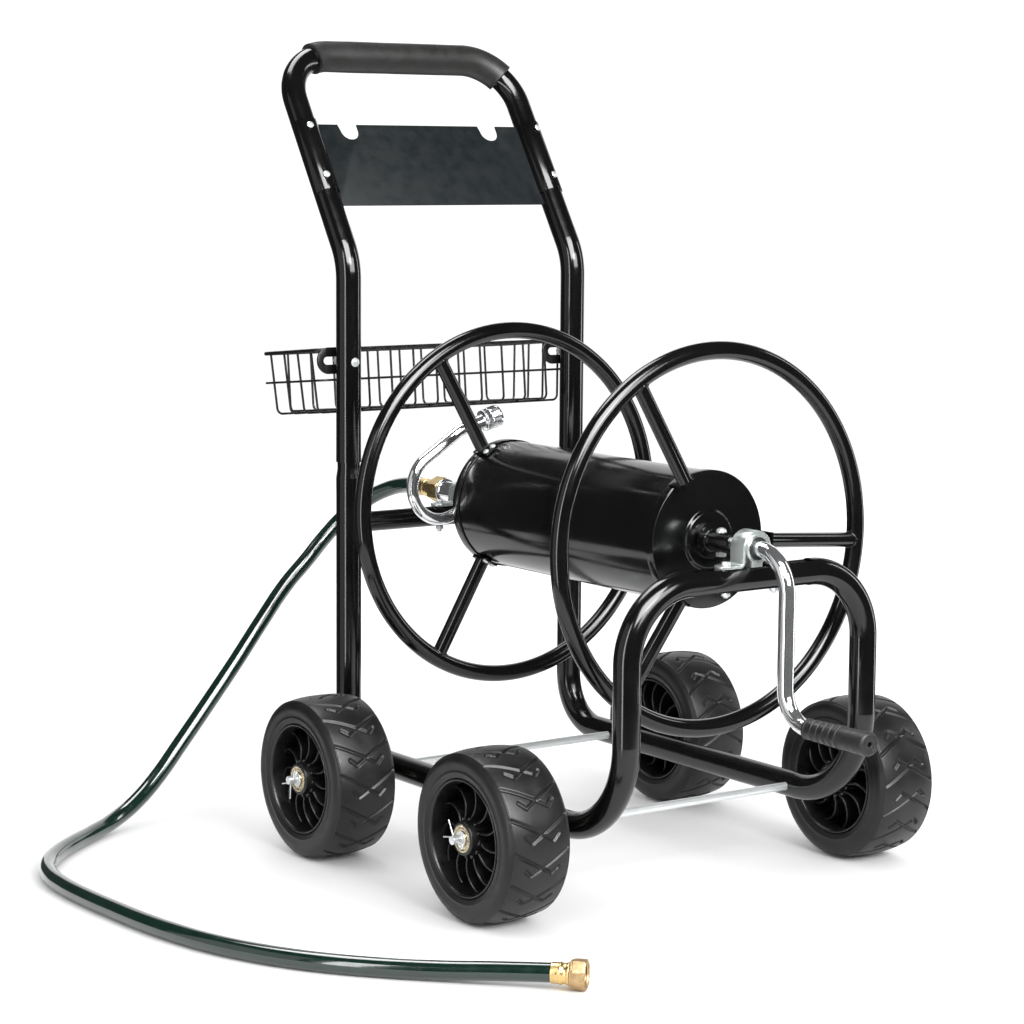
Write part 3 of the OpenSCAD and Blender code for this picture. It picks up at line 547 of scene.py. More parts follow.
def tyre_mesh():
    """The whole tyre about +Z: sidewalls with their rings, shoulder line, and a grooved tread."""
    wall = [(67.6, 38.5), (68.2, 40.6), (69.8, 41.9), (72.6, 42.4), (73.8, 42.9), (74.8, 43.35),
            (75.9, 43.35), (76.9, 42.85), (78.5, 42.75), (82.0, 43.1), (85.5, 43.3), (88.5, 43.0),
            (91.2, 42.0), (93.4, 40.6), (94.6, 39.6), (95.0, 39.1), (95.9, 38.9), (96.5, 38.4),
            (96.55, 37.7), (96.2, 37.2)]
    across = np.linspace(TREAD_HALF, -TREAD_HALF, 76)
    crown = [(CROWN_R - CROWN_DROP * (abs(x) / TREAD_HALF) ** 2.6, x) for x in across]
    inner = [(67.6, -38.5), (67.2, 0), (67.6, 38.5)]
    profile = np.array(wall + crown + [(r, -x) for r, x in reversed(wall)][:-1] + inner[:2])
    count = TREAD_UNITS * TREAD_STEPS
    angle = np.linspace(0, TURN, count, endpoint=False)[:, None]
    radius = np.repeat(profile[None, :, 0], count, 0)
    x = np.repeat(profile[None, :, 1], count, 0)
    pitch = TURN * CROWN_R / TREAD_UNITS
    s = pitch / 2 - np.repeat(np.mod(angle * CROWN_R, pitch), len(profile), 1)
    on_tread = smooth_step(radius, 95.8, 96.6) * smooth_step(-np.abs(x), -38.6, -37.4)
    radius = radius - tread_depth(x, s, pitch) * on_tread
    on_shoulder = (radius > 94) & (np.abs(x) > NOTCH_LINE[0][0])
    from_notch = line_distance(np.abs(x), s, *NOTCH_LINE)
    radius = radius - NOTCH_DEEP * (1 - smooth_step(from_notch, 0.5, 1.3)) * on_shoulder
    rings = np.stack([radius * np.cos(angle), radius * np.sin(angle), x], -1) * MM
    return rings_mesh("tyre", rings, closed=True)


# ---- rims and bearings ----

BLADES = 12
BLADE_CENTRE = (39.1, 17.4)
BLADE_R = 26.0
BLADE_HALF = 1.35
BLADE_ARC = (160.5, 40.5)    # degrees on the blade's circle, back from its middle's direction
STUD_R = 21.8          # from the wheel's axis to the small studs between the blades
BEARING_FACE = 42.5    # from the wheel's middle plane


def blade_mesh():
    """One curved blade with round edges, from the hub to the barrel."""
    towards = math.atan2(BLADE_CENTRE[1], BLADE_CENTRE[0])
    start, end = (towards - math.radians(turn) for turn in BLADE_ARC)
    rows = []
    for t in np.linspace(0, 1, 22):
        a = start + (end - start) * t
        out = np.array((math.cos(a), math.sin(a)))
        middle = np.array(BLADE_CENTRE) + BLADE_R * out
        top = 27.0 + 5.0 * (1 - t) ** 2 - 3.0 * t ** 4
        ring = []
        for side in (1, -1):
            for k in range(9):
                turn = math.pi * k / 8
                width = side * BLADE_HALF * math.cos(turn)
                rise = side * (top + BLADE_HALF * math.sin(turn))
                ring.append((*(middle + width * out) * MM, rise * MM))
        rows.append(ring)
    grid = np.array(rows)
    ends = np.array([np.repeat(grid[i].mean(0)[None], grid.shape[1], 0) for i in (0, -1)])
    return rings_mesh("blade", np.concatenate([ends[:1], grid, ends[1:]]), sharp=50)


def rim_mesh():
    """Barrel, dished web, hub and blades of one wheel, about +Z."""
    upper = rounded([(24, 2.2), (62.0, 2.2), (62.6, 20), (63.6, 33), (64.4, 39.4), (65.2, 41.4),
                     (66.4, 42.3), (67.7, 41.9), (68.0, 39.5)], 2.0)
    lower = [(r, -z) for r, z in reversed(upper)]
    barrel = lathe("barrel", upper + lower + upper[:1], 128, 50)
    hub = rounded([(16.05, 30), (16.05, 42.3), (17.6, 42.4), (19.6, 41.2), (21.0, 30), (23.5, 4),
                   (28, 2.1)], 0.8)
    hub_side = lathe("hub", hub, 72, 50)
    stud = lathe("stud", rounded([(0, 35.2), (2.0, 35.2), (2.5, 33), (2.6, 2)], 0.8), 16)
    flip = Matrix.Rotation(math.pi, 4, "X")
    parts = [(barrel, Matrix()), (hub_side, Matrix()), (hub_side, flip)]
    blade = blade_mesh()
    to_stud = Matrix.Rotation(math.radians(-7), 4, "Z")
    for k in range(BLADES):
        turn = Matrix.Rotation(math.radians(360 / BLADES * k), 4, "Z")
        parts.append((blade, turn))
        spot = turn @ to_stud @ Matrix.Translation((STUD_R * MM, 0, 0))
        parts += [(stud, spot), (stud, flip @ spot)]
    return combined("rim", parts, sharp=50)


def bearing_mesh():
    """Two sealed ball bearings: races, shields and the gap round each shield."""
    steps = [(16.0, -10), (16.0, 0), (13.4, 0), (13.2, -0.9), (12.4, -1.0), (12.2, -0.5), (9.0, -0.5),
             (8.8, -1.1), (8.1, -1.1), (7.9, 0), (5.1, 0), (5.05, -10)]
    profile = rounded([(r, BEARING_FACE + z) for r, z in steps], 0.35, 3)
    one = lathe("bearing", profile + profile[:1], 64, 30)
    return combined("bearings", [(one, Matrix()), (one, Matrix.Rotation(math.pi, 4, "X"))], sharp=30)


def split_pin_mesh():
    """A split pin about +Z: its eye above the axle, and two legs spread wide below it."""
    half = [(0.8, 8), (0.9, 0), (0.9, -6), (2.5, -9), (7, -15), (12, -22)]
    legs = []
    for s in (-1, 1):
        path = smooth_path([(s * y * MM, 0, z * MM) for y, z in half], 26)
        legs.append((tube_along("leg", path, [0.85 * MM] * len(path), 12), Matrix()))
    turns = np.linspace(0.25, TURN - 0.25, 28)
    eye = [(3.1 * math.sin(a) * MM, 0, (11.4 - 3.6 * math.cos(a)) * MM) for a in turns]
    eye_tube = tube_along("eye", eye, [0.95 * MM] * len(eye), 12)
    return combined("split_pin", legs + [(eye_tube, Matrix())], sharp=60)


def smooth_path(points, count):
    """A Catmull-Rom curve through points."""
    p = np.array(points, float)
    p = np.vstack([2 * p[0] - p[1], p, 2 * p[-1] - p[-2]])
    out = []
    for u in np.linspace(0, len(points) - 1 - 1e-6, count):
        i = int(u)
        t = u - i
        a, b, c, d = p[i:i + 4]
        out.append(0.5 * (2 * b + (c - a) * t + (2 * a - 5 * b + 4 * c - d) * t ** 2
                          + (3 * b - a - 3 * c + d) * t ** 3))
    return out


def make_wheels():
    """Each wheel's own moulded start angle is in its meshes, so that its object needs no odd turn."""
    pin_turns = {"front_left": 115, "front_right": 200, "rear_left": 40, "rear_right": 75}
    mould_turn = 17
    pins = []
    for count, (key, pin_turn) in enumerate(pin_turns.items()):
        side = -1 if key.endswith("left") else 1
        body = f"wheel_{key}"
        place = facing(centre(f"tyre_{key}"), (side, 0, 0))
        start = Matrix.Rotation(math.radians(mould_turn * count), 4, "Z")
        tyre = combined("tyre", [(tyre_mesh(), start)], sharp=180)
        rim = combined("rim", [(rim_mesh(), start)], sharp=50)
        piece(f"tread_tyre_{key}", tyre, body, "tyre", place, [f"tyre_{key}"])
        piece(f"bladed_rim_{key}", rim, body, "rim", place, [f"rim_{key}", f"blades_{key}"])
        piece(f"ball_bearings_{key}", bearing_mesh(), body, "bearing_steel", place,
              [f"bearings_{key}"])
        spot = centre(f"tyre_{key}") + Vector((side * PIN_OUT * MM, 0, 0))
        pin_turned = Matrix.Rotation(math.radians(pin_turn), 4, "X")
        turn = pin_turned @ Matrix.Rotation(math.pi / 2, 4, "Z")
        pins.append((split_pin_mesh(), Matrix.Translation(spot) @ turn))
    piece("split_pins", combined("split_pins", pins, sharp=60), "cart", "zinc", None, ["cotter_pins"])


# ---- pieces with rounded edges ----

# The width of the rounded edge of each CAD node that only needs its edges softened.
ROUNDED = {
    "tool_plate": 0.35, "basket_brackets": 0.5, "leg_nuts": 0.5, "front_bearing_shell": 0.6,
    "front_bush": 0.5, "saddle_bolts": 0.6, "saddle_nuts": 0.6, "drive_shaft": 0.7, "hub_bolts": 0.5,
    "front_spokes": 0.5, "rear_spokes": 0.5, "front_drum_cap": 0.6, "rear_drum_cap": 0.6,
    "axle_washers": 0.3, "inlet_swivel": 0.5, "front_axle": 0.6, "rear_axle": 0.6,
}


def rounded_copy(node, width):
    """A copy of a CAD node with its sharp edges rounded over, which stands for it."""
    work = bmesh.new()
    work.from_mesh(nodes[node].data)
    bmesh.ops.remove_doubles(work, verts=work.verts, dist=2e-6)
    bmesh.ops.dissolve_limit(work, angle_limit=math.radians(0.7), verts=work.verts, edges=work.edges)
    limit = math.radians(33)
    sharp = [e for e in work.edges if len(e.link_faces) == 2 and e.calc_face_angle(0) > limit]
    bmesh.ops.bevel(work, geom=sharp, offset=width * MM, offset_type="OFFSET", segments=3, profile=0.5,
                    affect="EDGES", clamp_overlap=True)
    bmesh.ops.triangulate(work, faces=[f for f in work.faces if len(f.verts) > 4])
    mesh = bpy.data.meshes.new(f"rounded_{node}")
    work.to_mesh(mesh)
    work.free()
    mesh.shade_smooth()
    mesh.set_sharp_from_angle(angle=math.radians(28))
    if node == "tool_plate":
        paint_sleeves(mesh)
    return piece(f"rounded_{node}", mesh, nodes[node]["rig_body"], slot_of(node), None, [node])


def paint_sleeves(mesh):
    """The sleeves at the plate's ends are as glossy as the legs they wrap."""
    mesh.materials.append(LOOKS["plate_paint"])
    mesh.materials.append(LOOKS["frame_black"])
    for face in mesh.polygons:
        face.material_index = int(abs(face.center.x) > SLEEVE_FROM)


def slot_of(node):
    """The material slot that the record gives a CAD node."""
    return next(p["material_slot"] for p in frame["record"]["subparts"] if p["node"] == node)


# ---- saddles ----

STRAP_THICK = 3.5


def strap_mesh(name, inner_r, foot_z, reach, width, middle):
    """An omega strap of bent plate: round feet, filleted bends, and a half circle over the bearing."""
    r = inner_r + STRAP_THICK / 2
    low = foot_z + STRAP_THICK / 2
    fillet, edge = 5.0, 0.7
    outline = [(-reach, low)]
    quarter = np.linspace(0, math.pi / 2, 8)
    outline += [(-r - fillet + fillet * math.sin(a), low + fillet - fillet * math.cos(a)) for a in quarter]
    foot = len(outline)
    half_turn = np.linspace(0, math.pi, 37)
    outline += [(-r * math.cos(a), middle.z / MM + r * math.sin(a)) for a in half_turn]
    outline += [(-x, z) for x, z in reversed(outline[:foot])]
    path = evenly(outline, 1.2)
    along = np.concatenate([[0], np.cumsum(np.linalg.norm(np.diff(path, axis=0), axis=1))])
    half = width / 2
    rows = []
    tangents = np.gradient(path, axis=0)
    tangents /= np.linalg.norm(tangents, axis=1)[:, None]
    for point, tangent, far in zip(path, tangents, along):
        away = min(far, along[-1] - far)
        inset = max(0.0, 1 - away / half)
        reach_y = max(0.8, half * math.sqrt(1 - inset ** 2))
        normal = np.array([-tangent[1], tangent[0]])
        ring = []
        for across, out in ((1, 1), (-1, 1), (-1, -1), (1, -1)):
            for k in range(4):
                a = math.radians(30 * k)
                step = (math.cos(a), math.sin(a)) if across * out > 0 else (math.sin(a), math.cos(a))
                y = across * (reach_y - edge + edge * step[0])
                rise = out * (STRAP_THICK / 2 - edge + edge * step[1])
                spot = point + normal * rise
                ring.append((spot[0] * MM, middle.y + y * MM, spot[1] * MM))
        rows.append(ring)
    ends = [np.repeat(np.mean(rows[i], axis=0)[None], len(rows[i]), 0) for i in (0, -1)]
    return rings_mesh(name, np.array([ends[0], *rows, ends[1]]), sharp=40)


def evenly(points, step):
    """Points at even distances along a line."""
    p = np.array(points, float)
    along = np.concatenate([[0], np.cumsum(np.linalg.norm(np.diff(p, axis=0), axis=1))])
    at = np.linspace(0, along[-1], int(along[-1] / step) + 1)
    return np.stack([np.interp(at, along, p[:, k]) for k in range(p.shape[1])], -1)


def make_saddles():
    """A strap over each end bearing, as wide and as tall as its CAD node."""
    for node, reach in (("front_saddle", 50), ("rear_saddle", 48)):
        low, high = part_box(node)
        width = (high.y - low.y) / MM
        middle = (low + high) / 2
        middle.z = reel_z
        inner = (high.z - reel_z) / MM - STRAP_THICK
        strap = strap_mesh(f"strap_{node}", inner, low.z / MM, reach, width, middle)
        piece(f"bent_{node}", strap, "cart", "saddle_zinc", None, [node])


# ---- screws ----

def screw_head_mesh(radius, height):
    """A pan head about +Z with a cross recess."""
    dome = [(0, height), (radius * 0.35, height * 0.97), (radius * 0.7, height * 0.78),
            (radius * 0.93, height * 0.4), (radius, 0), (radius * 0.9, -0.4), (0, -0.4)]
    head = lathe("head", rounded(dome, 0.3), 40)
    cross = cross_mesh(radius * 0.55, radius * 0.13, height)
    return combined("screw_head", [(head, Matrix())], cut=(cross, "DIFFERENCE"))


def cross_mesh(reach, half, middle):
    """A prism with a plus-shaped outline, which cuts a recess of half its depth."""
    depth = 1.6
    arm = [(half, half), (half, reach), (-half, reach)]
    corners = []
    for _ in range(4):
        corners += arm
        arm = [(-y, x) for x, y in arm]
    count = len(corners)
    points = [(x * MM, y * MM, (middle + z) * MM) for z in (-depth / 2, depth / 2) for x, y in corners]
    faces = [tuple(range(count)), tuple(range(count, 2 * count))]
    faces += [(i, (i + 1) % count, (i + 1) % count + count, i + count) for i in range(count)]
    return mesh_of("cross", points, faces)


def make_plate_screws():
    """Four bright pan heads in the plate's sleeves, square to the slanted legs."""
    lean = Matrix.Rotation(-LEAN, 4, "X")
    splay, lift, odd_turn = 10, 0.9, 37
    parts = []
    for count, (low, high) in enumerate(islands("plate_screws")):
        middle = (low + high) / 2
        side = 1 if middle.x > 0 else -1
        out = lean @ Matrix.Rotation(math.radians(side * splay), 4, "Z") @ Vector((0, -1, 0))
        turn = Matrix.Rotation(math.radians(odd_turn * count), 4, "Z")
        parts.append((screw_head_mesh(4.7, 2.0), facing(middle + out * lift * MM, out) @ turn))
    piece("cross_head_plate_screws", combined("plate_screws", parts), "cart",
          slot_of("plate_screws"), None, ["plate_screws"])


def make_leg_screws():
    """A pan head on the front of each leg, and its shank through the leg and bracket."""
    head_high, shank_from, shank_r = 3.0, 4.0, 3
    parts = []
    for low, high in islands("leg_bolts"):
        x = (low.x + high.x) / 2
        z = (low.z + high.z) / 2
        head_at = Vector((x, low.y + head_high * MM, z))
        parts.append((screw_head_mesh(6.0, head_high), facing(head_at, (0, -1, 0))))
        length = (high.y - low.y) / MM - shank_from
        shank = lathe("shank", rounded([(0, 0), (shank_r, 0), (shank_r, length), (0, length)], 0.5), 24)
        parts.append((shank, facing(Vector((x, low.y + shank_from * MM, z)), (0, 1, 0))))
    piece("pan_head_leg_bolts", combined("leg_bolts", parts), "cart", slot_of("leg_bolts"), None,
          ["leg_bolts"])


def make_spoke_screws():
    """Small round heads on the spokes' feet."""
    parts = []
    for count, (low, high) in enumerate(islands("spoke_bolts")):
        middle = (low + high) / 2
        out = Vector((middle.x, 0, middle.z - reel_z)).normalized()
        radius = math.hypot(middle.x, middle.z - reel_z)
        base = middle + out * (SPOKE_FOOT_TOP * MM - radius)
        parts.append((screw_head_mesh(4.0, 2.4), facing(base, out) @ Matrix.Rotation(count, 4, "Z")))
    piece("round_head_spoke_bolts", combined("spoke_bolts", parts), "reel",
          slot_of("spoke_bolts"), None, ["spoke_bolts"])


def make_drive_bolt():
    """A domed bolt through the drive socket, with a nut on the other side."""
    low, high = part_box("drive_bolt")
    y = (low.y + high.y) / 2
    dome_high, nut_high, socket_r = 4.5, 5, 12
    dome = lathe("dome", rounded([(0, 4.4), (2.4, 4.1), (4.6, 2.9), (6.1, 0.6), (6.1, -1.6), (5.6, -2.2),
                                  (0, -2.2)], 0.5), 40)
    shank = lathe("shank", rounded([(0, 0), (3, 0), (3, 33), (0, 33)], 0.6), 24)
    nut = nut_mesh(6.0, nut_high, 0.8)
    top = Vector((0, y, high.z - dome_high * MM))
    bottom = Vector((0, y, reel_z - (socket_r + nut_high) * MM))
    parts = [(dome, Matrix.Translation(top)), (nut, Matrix.Translation(bottom)),
             (shank, Matrix.Translation((0, y, low.z)))]
    piece("domed_drive_bolt", combined("drive_bolt", parts), "reel", slot_of("drive_bolt"), None,
          ["drive_bolt"])


# ---- grips ----

def make_foam_grip():
    """Thick foam over the handle's bar and part of its bends, cut square at both ends."""
    full, bend, half_bar = 21.0, 70.0, 106.0
    left_turn, right_turn = math.asin(0.36), math.asin(0.8)
    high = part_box("handle_grip")[1]
    top = Vector((0, high.y, high.z)) - Vector((0, full, full)) * MM
    up = Vector((0, math.sin(LEAN), math.cos(LEAN)))
    line = []
    for a in np.linspace(left_turn, 0, 12):
        line.append((-half_bar - bend * math.sin(a), bend * math.cos(a) - bend))
    for x in np.linspace(-half_bar, half_bar, 60)[1:-1]:
        line.append((x, 0))
    for a in np.linspace(0, right_turn, 22):
        line.append((half_bar + bend * math.sin(a), bend * math.cos(a) - bend))
    rows, radii = [], []
    for x, drop in evenly(line, 2.5):
        rows.append(top + Vector((x, 0, 0)) * MM + up * drop * MM)
        swell = 0.35 * math.sin(x * 0.045) * math.sin(x * 0.021 + 1)
        radii.append((full - 0.35 + min(0.0, swell)) * MM)
    ends = [(0.0, 0.82), (0.4, 0.93), (1.2, 0.985)]
    first, second = rows[0], (rows[1] - rows[0]).normalized()
    last, before = rows[-1], (rows[-2] - rows[-1]).normalized()
    start = [(first + second * d * MM, full * f * MM) for d, f in ends]
    finish = [(last + before * d * MM, full * f * MM) for d, f in reversed(ends)]
    path = [p for p, _ in start] + rows[1:-1] + [p for p, _ in finish]
    radii = [r for _, r in start] + radii[1:-1] + [r for _, r in finish]
    mesh = tube_along("foam_grip", path, radii, 56)
    grip = piece("foam_grip", mesh, "cart", "foam", None, ["handle_grip"])


def make_crank_grip():
    """A hard sleeve, slimmer at its collar, with five finger rings and a flat bored end."""
    low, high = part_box("crank_grip")
    length = (high.y - low.y) / MM
    rings, first_ring, ring_step = 5, 15, 10.5
    end_r, corner = 13.55, 3.4
    profile = [(6.3, 6), (6.3, 0.5), (7.0, 0), (11.4, 0), (12.1, 0.6), (12.1, 3.4), (11.5, 4.4), (11.4, 8)]
    for k in range(rings):
        z = first_ring + ring_step * k
        r = 11.5 + 0.028 * z
        profile += [(r, z - 1.6), (r + 0.55, z - 0.5), (r + 0.55, z + 0.3), (r - 0.35, z + 0.8),
                    (r - 0.35, z + 1.6)]
    profile += [(12.9, 68), (13.4, length - 14), (end_r, length - 5)]
    for a in np.linspace(0.15, math.pi / 2, 9):
        profile.append((end_r - corner + corner * math.cos(a), length - corner + corner * math.sin(a)))
    profile += [(8.2, length), (7.9, length - 0.35), (7.4, length - 0.4), (3.4, length - 0.4),
                (3.0, length - 0.8), (3.0, length - 9), (0, length - 9)]
    place = facing(Vector((0, high.y, (low.z + high.z) / 2)), (0, -1, 0))
    piece("ringed_crank_grip", lathe("crank_grip", profile, 72, 28), "crank_grip", "grip_plastic",
          place, ["crank_grip"])


# ---- hose fittings ----

OUTLET_AT = (-14.30, 240.14, 523.75)    # mm, where the gooseneck's pipe ends
OUTLET_WAY = (0.96, 0, 0.28)


def make_outlet():
    """The gooseneck's end: a sleeve, a knurled collar, and the coarse garden hose thread."""
    place = facing(Vector(OUTLET_AT) * MM, OUTLET_WAY)
    sleeve = rounded([(7.55, -12), (9.0, -12), (9.5, -11.4), (9.5, 0.5), (12.6, 1.6), (13.9, 2.4),
                      (13.9, 11.2), (12.2, 12.4), (11.6, 13.2)], 0.5)
    barrel = rounded([(11.6, 13.2), (11.6, 14.2), (14.0, 14.8)], 0.3)
    thread = [(13.0 + 1.3 * (0.5 + 0.5 * math.cos(TURN * k / 8)), 15.2 + 0.3 * k) for k in range(26)]
    lip = rounded([(14.2, 23.2), (14.2, 25.6), (13.4, 25.95), (9.2, 25.95), (8.4, 25.4), (8.2, 20),
                   (8.2, 4), (0, 4)], 0.4)
    ribs, rib_depth = 36, 0.055
    turned = lathe("outlet", sleeve + barrel + thread + lip, 144, 40)
    for v in turned.vertices:
        x, y, z = (c / MM for c in v.co)
        r = math.hypot(x, y)
        if 2.6 < z < 11 and r > 13.5:
            knurl = 1 - rib_depth * (0.5 + 0.5 * math.cos(ribs * math.atan2(y, x)))
            v.co.x *= knurl
            v.co.y *= knurl
    piece("threaded_outlet", turned, "reel", slot_of("outlet_fitting"), place, ["outlet_fitting"])


def make_inlet_nut():
    """A brass nut on the inlet thread, and the ridged tail that holds the hose."""
    place = facing(Vector((0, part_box("inlet_nut")[0].y, reel_z)), (0, 1, 0))
    nut = nut_mesh(17.9, 20, 1.6)
    profile = rounded([(0, 19.5), (15.2, 19.5), (15.2, 22.5), (12.2, 24.5), (12.2, 29), (11.3, 30),
                       (11.3, 38), (12.0, 39.5), (12.0, 42), (11.2, 43.5), (11.2, 55), (12.0, 57),
                       (12.0, 59.5), (11.2, 61), (11.2, 67.0), (10.7, 67.6), (0, 67.6)], 0.8)
    tail = lathe("tail", profile, 64, 40)
    both = combined("inlet_nut", [(nut, Matrix()), (tail, Matrix())], sharp=32)
    piece("brass_inlet_nut", both, "cart", "brass", place, ["inlet_nut"])


def hose_end():
    """Where the hose ends, and the way that it points there."""
    return Vector(HOSE_ROUTE[-1]), Vector((math.cos(HOSE_END_TURN), math.sin(HOSE_END_TURN), 0))


def make_ferrule():
    """A pressed sleeve with one ridge, round the hose's end."""
    place, way = hose_end()
    profile = rounded([(10.4, -0.1), (11.3, 0), (11.4, 7.2), (11.45, 8.6), (12.2, 9.6), (12.2, 10.8),
                       (11.3, 12.0), (11.0, 13.6), (11.3, 16.6), (12.6, 18.0), (12.8, 20.1), (6.4, 20.1),
                       (6.4, -0.1), (10.4, -0.1)], 0.9)
    ferrule = in_place(lathe("ferrule", profile, 72, 60), place, way)
    piece("ridged_ferrule", ferrule, "cart", "brass", None, ["hose_ferrule"])


def in_place(mesh, place, way):
    """A mesh moved to a place so that its +Z looks a way, with nothing left for its object to do."""
    mesh.transform(facing(place, way))
    return mesh


def make_coupling():
    """A cast swivel nut: eight worn flats, a flange at its back, a thread and a washer inside."""
    place, way = hose_end()
    round_r, flat_r, flats = 16.6, 15.75, 8
    profile = rounded([(6.4, 20.3), (13.6, 20.2), (14.9, 20.9), (15.3, 22.4), (15.6, 23.2), (16.5, 23.9),
                       (round_r, 36.4), (16.0, 37.7), (15.2, 38.0), (14.2, 38.0), (13.4, 37.2)], 0.5)
    thread = [(12.9 + 0.45 * math.cos(TURN * k / 6), 36.6 - 0.42 * k) for k in range(26)]
    profile += thread + rounded([(13.0, 25.4), (6.4, 25.4), (6.4, 20.3)], 0.3)
    nut = lathe("coupling", profile, 128, 40)
    for v in nut.vertices:
        x, y, z = (c / MM for c in v.co)
        r = math.hypot(x, y)
        if r > 15.4 and z > 23:
            a = (math.atan2(y, x) + math.pi / flats) % (TURN / flats) - math.pi / flats
            flat = min(1.0, flat_r / (round_r * math.cos(a)))
            v.co.x *= flat
            v.co.y *= flat
    piece("cast_coupling", in_place(nut, place, way), "cart", "cast_brass", None, ["hose_coupling"])
    ring = rounded([(6.8, 25.5), (12.2, 25.5), (12.2, 28.2), (6.8, 28.2), (6.8, 25.5)], 0.4)
    washer = lathe("washer", ring, 48)
    piece("coupling_washer", in_place(washer, place, way), "cart", "seal", None)


# ---- weld beads ----

REAR_SPOKES = (0, 120, 240)     # degrees round the reel's axis
FRONT_SPOKES = (-4, 121, 234)


def bead(points, radius=1.5):
    """A lumpy bead of weld along a closed line, in millimetres."""
    path = evenly(list(points) + [points[0]], 0.9)
    radii = [(radius + 0.3 * math.sin(k * 1.7) * math.sin(k * 0.53 + 1)) * MM for k in range(len(path))]
    return tube_along("bead", path * MM, radii, 10)


def make_weld_beads():
    """Beads at the spokes' outer ends, at the crossbar's ends, and round the drive flange."""
    reel_parts, cart_parts = [], []
    spoke, hoop, hoop_reach = 9.0, 10.5, 221.5
    bar, leg, leg_x = 13.0, 16, 176
    flange_r = 12.3
    around = np.linspace(0, TURN, 40, endpoint=False)
    for node, turns in (("front_hoop", FRONT_SPOKES), ("rear_hoop", REAR_SPOKES)):
        y0 = centre(node).y / MM
        for turn in turns:
            a = math.radians(turn)
            out = np.array((math.cos(a), 0, math.sin(a)))
            side = np.array((-math.sin(a), 0, math.cos(a)))
            line = []
            for p in around:
                off = spoke * math.cos(p)
                reach = hoop_reach - math.sqrt(hoop ** 2 - off ** 2) + 0.3
                hub = np.array((0, y0 + off, reel_z / MM))
                line.append(out * reach + side * spoke * math.sin(p) + hub)
            reel_parts.append((bead(line), Matrix()))
    low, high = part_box("rear_crossbar")
    leg_y = (low.y + high.y) / 2 / MM
    leg_z = (low.z + high.z) / 2 / MM
    for side in (-1, 1):
        line = []
        for p in around:
            off = bar * math.cos(p)
            x = leg_x - math.sqrt(leg ** 2 - off ** 2) - 0.4
            line.append(np.array((side * x, leg_y + off, leg_z + bar * math.sin(p))))
        cart_parts.append((bead(line, 1.9), Matrix()))
    flange_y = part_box("front_drum_cap")[0].y / MM - 4
    hub = np.array((0, flange_y - 0.4, reel_z / MM))
    line = [np.array((flange_r * math.cos(p), 0, flange_r * math.sin(p))) + hub for p in around]
    reel_parts.append((bead(line, 1.3), Matrix()))
    reel_beads = combined("reel_weld_beads", reel_parts, sharp=180)
    frame_beads = combined("frame_weld_beads", cart_parts, sharp=180)
    piece("reel_weld_beads", reel_beads, "reel", "frame_black")
    piece("frame_weld_beads", frame_beads, "cart", "frame_black")


# ---- stage and light ----

TABLE_R = 1.15
FLOOR_R = 30
WORLD_SEEN = 1.15        # the strength of the white world, seen directly or by soft light
WORLD_MIRRORED = 0.06    # and as polished parts mirror it


def floor_ring(name, inner, outer, material):
    """A flat pale ring of floor."""
    ring = lathe(name, [(inner / MM, 0), (outer / MM, 0)], 128, 180)
    ring.materials.append(material)
    stage = bpy.data.objects.new(name, ring)
    scene.collection.objects.link(stage)
    return stage


def make_stage():
    """A white table round the cart, and pale floor beyond it that polished parts don't mirror."""
    floor = Finish("pale_floor", (0.93, 0.93, 0.93), 0.8, Specular_IOR_Level=0.1)
    floor.color(floor.noise(3, 4), (0.3, (0.92, 0.92, 0.92)), (0.7, (0.94, 0.94, 0.94)))
    floor_ring("table_top", 0, TABLE_R, floor.material)
    beyond = floor_ring("floor_beyond", TABLE_R, FLOOR_R, floor.material)
    beyond.visible_glossy = False


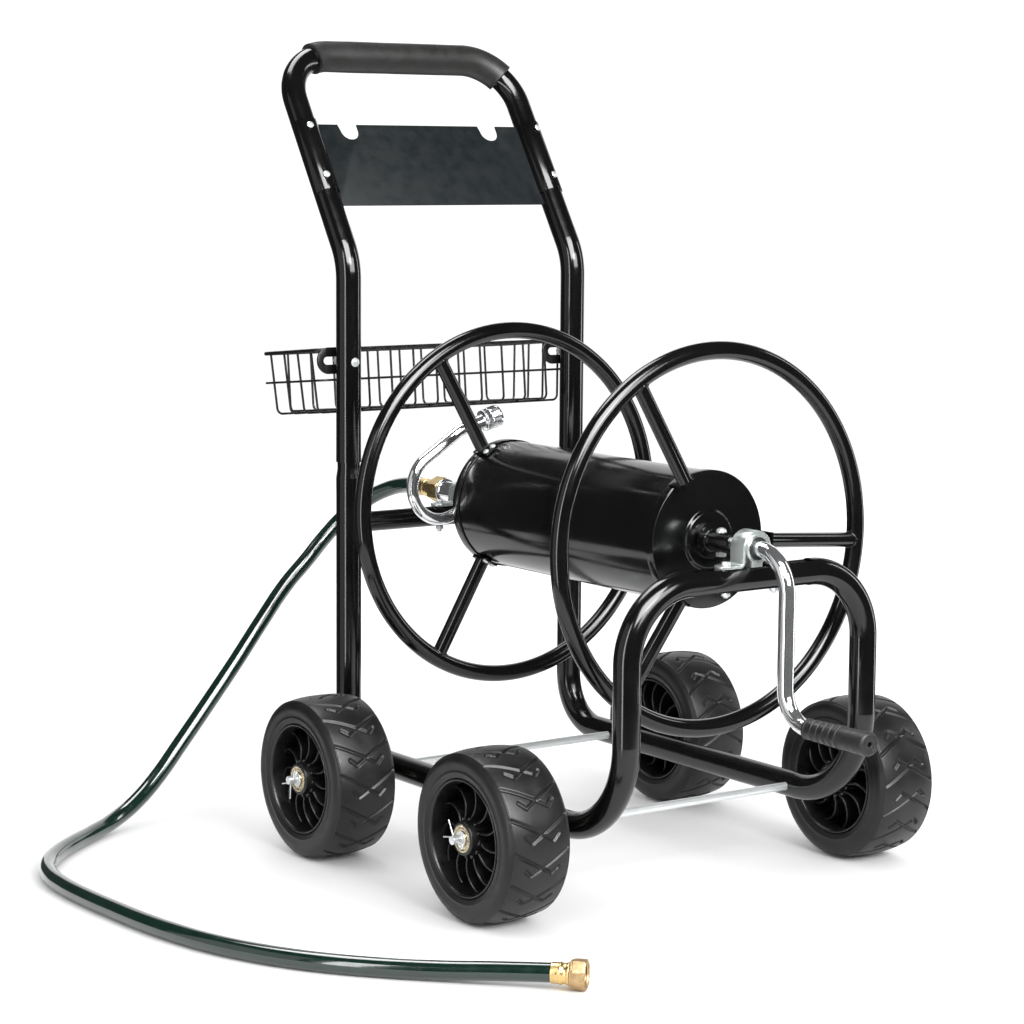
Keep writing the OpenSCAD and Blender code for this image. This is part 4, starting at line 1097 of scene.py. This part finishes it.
def softbox(name, place, target, size, power, only_mirrored=False):
    """A white panel light that the camera doesn't see, which may be there for reflections only."""
    data = bpy.data.lights.new(name, "AREA")
    data.shape = "RECTANGLE"
    data.size, data.size_y = size
    data.energy = power
    lamp = bpy.data.objects.new(name, data)
    lamp.location = place
    lamp.rotation_euler = (Vector(target) - Vector(place)).to_track_quat("-Z", "Y").to_euler()
    lamp.visible_camera = False
    lamp.visible_diffuse = not only_mirrored
    scene.collection.objects.link(lamp)


def make_light():
    """White all round for the camera and soft light; polished parts mirror a dark room and panels."""
    world = bpy.data.worlds.new("studio")
    world.use_nodes = True
    tree = world.node_tree
    background = tree.nodes["Background"]
    background.inputs["Color"].default_value = (1, 1, 1, 1)
    ray = tree.nodes.new("ShaderNodeLightPath")
    strength = tree.nodes.new("ShaderNodeMapRange")
    strength.inputs["To Min"].default_value = WORLD_SEEN
    strength.inputs["To Max"].default_value = WORLD_MIRRORED
    tree.links.new(ray.outputs["Is Glossy Ray"], strength.inputs["Value"])
    tree.links.new(strength.outputs["Result"], background.inputs["Strength"])
    world.cycles.sampling_method = "NONE"
    scene.world = world
    softbox("front_box", (0.15, -3.3, 2.0), (0, 0, 0.45), (2.4, 1.4), 110)
    softbox("high_front_box", (-0.9, -2.2, 2.7), (-0.2, 0.5, 0.25), (2.4, 1.9), 250, only_mirrored=True)
    softbox("left_box", (-2.9, -1.1, 0.9), (0, 0, 0.9), (0.5, 3.2), 42, only_mirrored=True)
    softbox("left_glow", (-3.0, 0.6, 0.9), (0, 0, 0.9), (2.2, 3.2), 14, only_mirrored=True)
    softbox("right_box", (3.0, -0.6, 0.9), (0, 0, 0.9), (0.35, 3.2), 24, only_mirrored=True)
    softbox("top_box", (-0.2, 1.5, 3.2), (0, 0, 0.4), (1.8, 1.3), 62, only_mirrored=True)
    softbox("back_wall", (2.1, 2.8, 1.3), (0, 0, 0.5), (4.4, 2.5), 38)
    scene.view_settings.view_transform = "Standard"


make_camera()
hose = make_hose()
dress_cad_nodes()
hose.data.materials.append(LOOKS["hose"])
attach(hose, "cart")
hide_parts("leader_hose")
make_inlet_nut()
make_ferrule()
make_coupling()
make_wheels()
for rounded_node, edge in ROUNDED.items():
    rounded_copy(rounded_node, edge)
make_saddles()
make_plate_screws()
make_leg_screws()
make_spoke_screws()
make_drive_bolt()
make_foam_grip()
make_crank_grip()
make_outlet()
make_weld_beads()
make_stage()
make_light()
